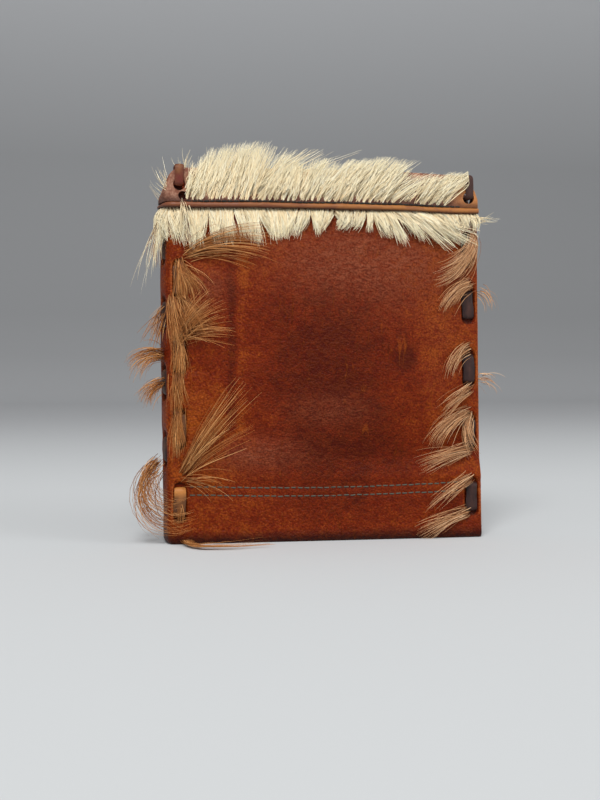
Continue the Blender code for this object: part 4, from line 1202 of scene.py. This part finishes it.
def add_fringe(name, side, start, end, material, body, count, replaced):
    """Cream fur that hangs from under the piping: long by the spine, short in the middle, swept out near the end."""
    chance = np.random.default_rng(151 + side + len(body))
    place = chance.uniform(start, end, count)
    spots = locks_of(chance, max(4, round((end - start) / FRINGE_LOCK_PITCH)), start, end)
    lock = np.abs(place[:, None] - spots).argmin(axis=1)
    sweep = smooth((place - 0.064) / 0.006)
    after = smooth((place - 0.082) / 0.008)
    lock_lean = chance.normal(4.0, 10.0, len(spots))
    lean = np.radians(lock_lean[lock] + chance.normal(0.0, 6.0, count) + 40.0 * sweep - 16.0 * after)
    drop = FRINGE_TOP - outline_at(FRINGE_TIPS, place + np.where(sweep > 0.5, 0.007, 0.0))
    thin = chance.uniform(0.74, 1.04, len(spots))
    curl = chance.normal(0.0, 0.0013, len(spots))[lock] + chance.normal(0.0, 0.0004, count)
    length = drop * chance.uniform(0.45, 1.08, count) ** 0.8 * thin[lock] / np.cos(lean * 0.9)
    share = np.linspace(0.0, 1.0, FUR_POINTS)
    root = FRINGE_TOP + chance.uniform(-0.0016, 0.0002, count)
    over, down = (np.sin(lean) * length)[:, None], (np.cos(lean) * length)[:, None]
    clump = 0.72 * share ** 1.2
    along = (place[:, None] + over * share) * (1.0 - clump) + (spots[lock][:, None] + over * share) * clump
    along = along + curl[:, None] * share ** 2
    bow = chance.uniform(0.0004, 0.0017, count) + 0.0010 * sweep
    lift = 0.0002 + bow[:, None] * np.sin(math.pi * (0.05 + 0.85 * share)) + 0.0003 * share
    on_spine = start < 0
    along = np.clip(along, start, end if on_spine else end + 0.0002)
    paths = skin_point(side, along, root[:, None] - down * share, lift)
    facing = (-0.4, 0.2 * side, 0.8) if on_spine else (0.0, 0.45 * side, 0.75)
    return add_fur(name, paths, share, chance, material, facing, body, replaced)


def add_tufts(name, side, tufts, material, body, seed):
    """Long hair that sticks out of the lacing."""
    chance = np.random.default_rng(seed)
    share = np.linspace(0.0, 1.0, 10)
    found = []
    for run, height, depth, lean, last, length, spread, count, off in tufts:
        angle = np.radians(lean + (last - lean) * share + chance.normal(0.0, 1.0, (count, 1)) * spread)
        angle = angle + np.radians(chance.normal(0.0, 5.0, (count, 1))) * np.sin(math.pi * share)
        size = length * chance.uniform(0.55, 1.08, (count, 1)) / (len(share) - 1)
        across = chance.normal(0.0, 0.0007, (count, 1)) + run + np.cumsum(np.sin(angle) * size, axis=1)
        up = chance.normal(0.0, 0.0010, (count, 1)) + height + np.cumsum(np.cos(angle) * size, axis=1)
        rise = off * chance.uniform(0.25, 1.1, (count, 1)) * np.sin(math.pi * (0.03 + 0.62 * share))
        inside = (across > 0.0) & (across < WIDTH)
        under = np.where(inside, plain_depth(np.clip(across, 0.0, WIDTH), np.clip(up, 0.0, HEIGHT)), 0.0)
        reach = np.maximum(under, depth) + np.where(share < 0.02, -0.0008, rise)
        found.append(np.stack((CREASE_X + across, side * reach, np.maximum(up, 0.00025)), axis=-1))
    paths = np.concatenate(found)
    radii = 0.000080 * (1.0 - 0.75 * share ** 2) * chance.uniform(0.6, 1.5, (len(paths), 1))
    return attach(finish_piece(add_strands(name, paths, radii), material), body)


def add_foot_tuft(material):
    """A tuft that falls from the lowest hole beside the spine and lies on the ground."""
    chance = np.random.default_rng(211)
    count = 120
    share = np.linspace(0.0, 1.0, 12)
    route = [np.interp(share, FOOT_ROUTE[0], way) for way in FOOT_ROUTE[1:]]
    reach = chance.uniform(0.35, 1.05, (count, 1))
    fan = chance.normal(0.0, 1.0, (count, 1)) * share
    run, depth, up = (np.interp(share * reach, share, way) for way in route)
    run = run + 0.0008 * chance.normal(size=(count, 1))
    up = np.maximum(up + np.abs(fan) * 0.0006, 0.0002)
    paths = np.stack((CREASE_X + run, -depth - 0.0018 * fan, up), axis=-1)
    radii = 0.00006 * (1.0 - 0.8 * share) * chance.uniform(0.7, 1.3, (count, 1))
    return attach(finish_piece(add_strands("front_foot_tuft", paths, radii), material), "front_half")


def dress_panels(material):
    for name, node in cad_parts.items():
        if "panel" in name or "card_pocket" in name:
            node.data.materials.clear()
            node.data.materials.append(material)


def thinned(tufts, share):
    """The same tufts with fewer hairs."""
    return tuple((*tuft[:7], max(6, round(tuft[7] * share)), tuft[8]) for tuft in tufts)


def add_half(prefix, side, finishes):
    body = half_body(side)
    add_cover(prefix, side, finishes["cover"])
    add_hem_turn(prefix, side, finishes["cover"])
    add_laces(prefix, side, finishes["gold lace"], finishes["dark lace"], finishes["spine lace"])
    add_band(prefix, side, finishes["hide"])
    add_piping(prefix, side, finishes["piping"])
    for number, row in enumerate(HEM_ROWS, 1):
        add_stitches(f"{prefix}_hem_thread_{number}", side, 0.0062, lambda place: hem_row_height(row, place),
                     finishes["hem thread"])
    add_stitches(f"{prefix}_trim_thread", side, 0.0055, lambda place: TRIM_ROW + 0.0 * place, finishes["trim thread"],
                 0.0014, 0.00030, SEAT_GAP + HIDE)
    full = 1.0 if side < 0 else 0.55
    fur = finishes["fur"]
    add_standing_fur(prefix, side, fur, round(STANDING_STRANDS * full))
    add_fringe(prefix + "_hanging_fringe", side, 0.0, WIDTH, fur, body, round(FRINGE_STRANDS * full),
               prefix + "_fur_fringe")
    add_fringe(f"spine_{prefix}_fringe", side, -CREASE_DEPTH, 0.0, fur, "spine", round(SPINE_STRANDS * full),
               "spine_fur_fringe")
    for name, tufts, finish, carrier, seed in (
        (prefix + "_spine_side_hair", LEFT_TUFTS, "gold hair", body, 301),
        (prefix + "_corner_wisps", WISPS, "fur", body, 331),
        (f"spine_{prefix}_wisps", SPINE_WISPS, "fur", "spine", 341),
        (f"spine_{prefix}_hair", OUTER_TUFTS, "gold hair", "spine", 311),
        (prefix + "_free_edge_hair", RIGHT_TUFTS, "peach hair", body, 321),
    ):
        add_tufts(name, side, thinned(tufts, 1.0 if side < 0 else 0.4), finishes[finish], carrier, seed + side)


def add_floor(material):
    """A floor that bends up into a backdrop."""
    clear_selection()
    bpy.ops.mesh.primitive_plane_add(size=1.0)
    floor = bpy.context.object
    floor.name = "floor"
    reshape(
        lambda: bpy.ops.transform.resize(value=(6.0, FLOOR_LENGTH, 1.0)),
        lambda: bpy.ops.transform.translate(value=(0.0, WALL_PLACE - FLOOR_LENGTH / 2, 0.0)),
    )
    select_corners(floor, lambda corner: corner.y > WALL_PLACE - 0.1)
    reshape(
        lambda: bpy.ops.mesh.extrude_region_move(TRANSFORM_OT_translate={"value": (0.0, 0.0, 2.0)}), whole=False
    )
    select_corners(floor, lambda corner: abs(corner.y - WALL_PLACE) < 0.001 and abs(corner.z) < 0.001)
    reshape(lambda: bpy.ops.mesh.bevel(offset=0.5, segments=16, affect="EDGES"), whole=False)
    smooth_shading(floor)
    finish_piece(floor, material)


def aim(name, data, place, back):
    """Adds a lamp or a camera here. back is the way to it from what it points at."""
    made = bpy.data.objects.new(name, data)
    made.location = place
    made.rotation_euler = (-back).to_track_quat("-Z", "Y").to_euler()
    bpy.context.scene.collection.objects.link(made)
    return made


def add_light():
    world = bpy.data.worlds.new("soft room")
    bpy.context.scene.world = world
    world.use_nodes = True
    world.node_tree.nodes["Background"].inputs["Color"].default_value = (1.0, 1.0, 1.0, 1.0)
    world.node_tree.nodes["Background"].inputs["Strength"].default_value = WORLD_LIGHT
    for name, place, size, power in LAMPS:
        light = bpy.data.lights.new(name, "AREA")
        light.shape = "DISK"
        light.size = size
        light.energy = power
        aim(name, light, place, Vector(place) - Vector(LAMP_TARGET))


def add_camera():
    level = math.cos(VIEW_ELEVATION)
    back = Vector((math.sin(VIEW_AZIMUTH) * level, -math.cos(VIEW_AZIMUTH) * level, math.sin(VIEW_ELEVATION)))
    lens = bpy.data.cameras.new("camera")
    lens.sensor_width = SENSOR
    lens.lens = FOCAL_SHARE * SENSOR
    lens.clip_start = 0.01
    bpy.context.scene.camera = aim("camera", lens, Vector(VIEW_TARGET) + back * VIEW_DISTANCE, back)


def main():
    finishes = {
        "cover": cover_finish(),
        "inner": inner_finish(),
        "gold lace": lace_finish("golden lace", LACE_GOLD_DARK, LACE_GOLD),
        "dark lace": lace_finish("dark lace", LACE_PURPLE_DARK, LACE_PURPLE, LACE_PURPLE),
        # A darker copy of the golden lace: painted shade on the spine
        "spine lace": lace_finish("spine lace", LACE_PURPLE_DARK, LACE_GOLD_DARK),
        "hide": hide_finish(),
        "piping": piping_finish(),
        "fur": hair_finish("cream fur", FUR_SHADE, FUR_CREAM, FUR_PALE, 1.0),
        "gold hair": hair_finish("golden hair", HAIR_BROWN, HAIR_GOLD, HAIR_AMBER),
        "peach hair": hair_finish("peach hair", HAIR_TAN, HAIR_PEACH, HAIR_PALE),
        "hem thread": thread_finish("hem thread", THREAD_GREY),
        "trim thread": thread_finish("trim thread", THREAD_OLIVE),
    }
    dress_panels(finishes["inner"])
    add_half("front", -1, finishes)
    add_half("back", 1, finishes)
    add_foot_tuft(finishes["gold hair"])
    add_floor(floor_finish())
    add_light()
    add_camera()
    bpy.context.scene.view_settings.view_transform = "Standard"


main()
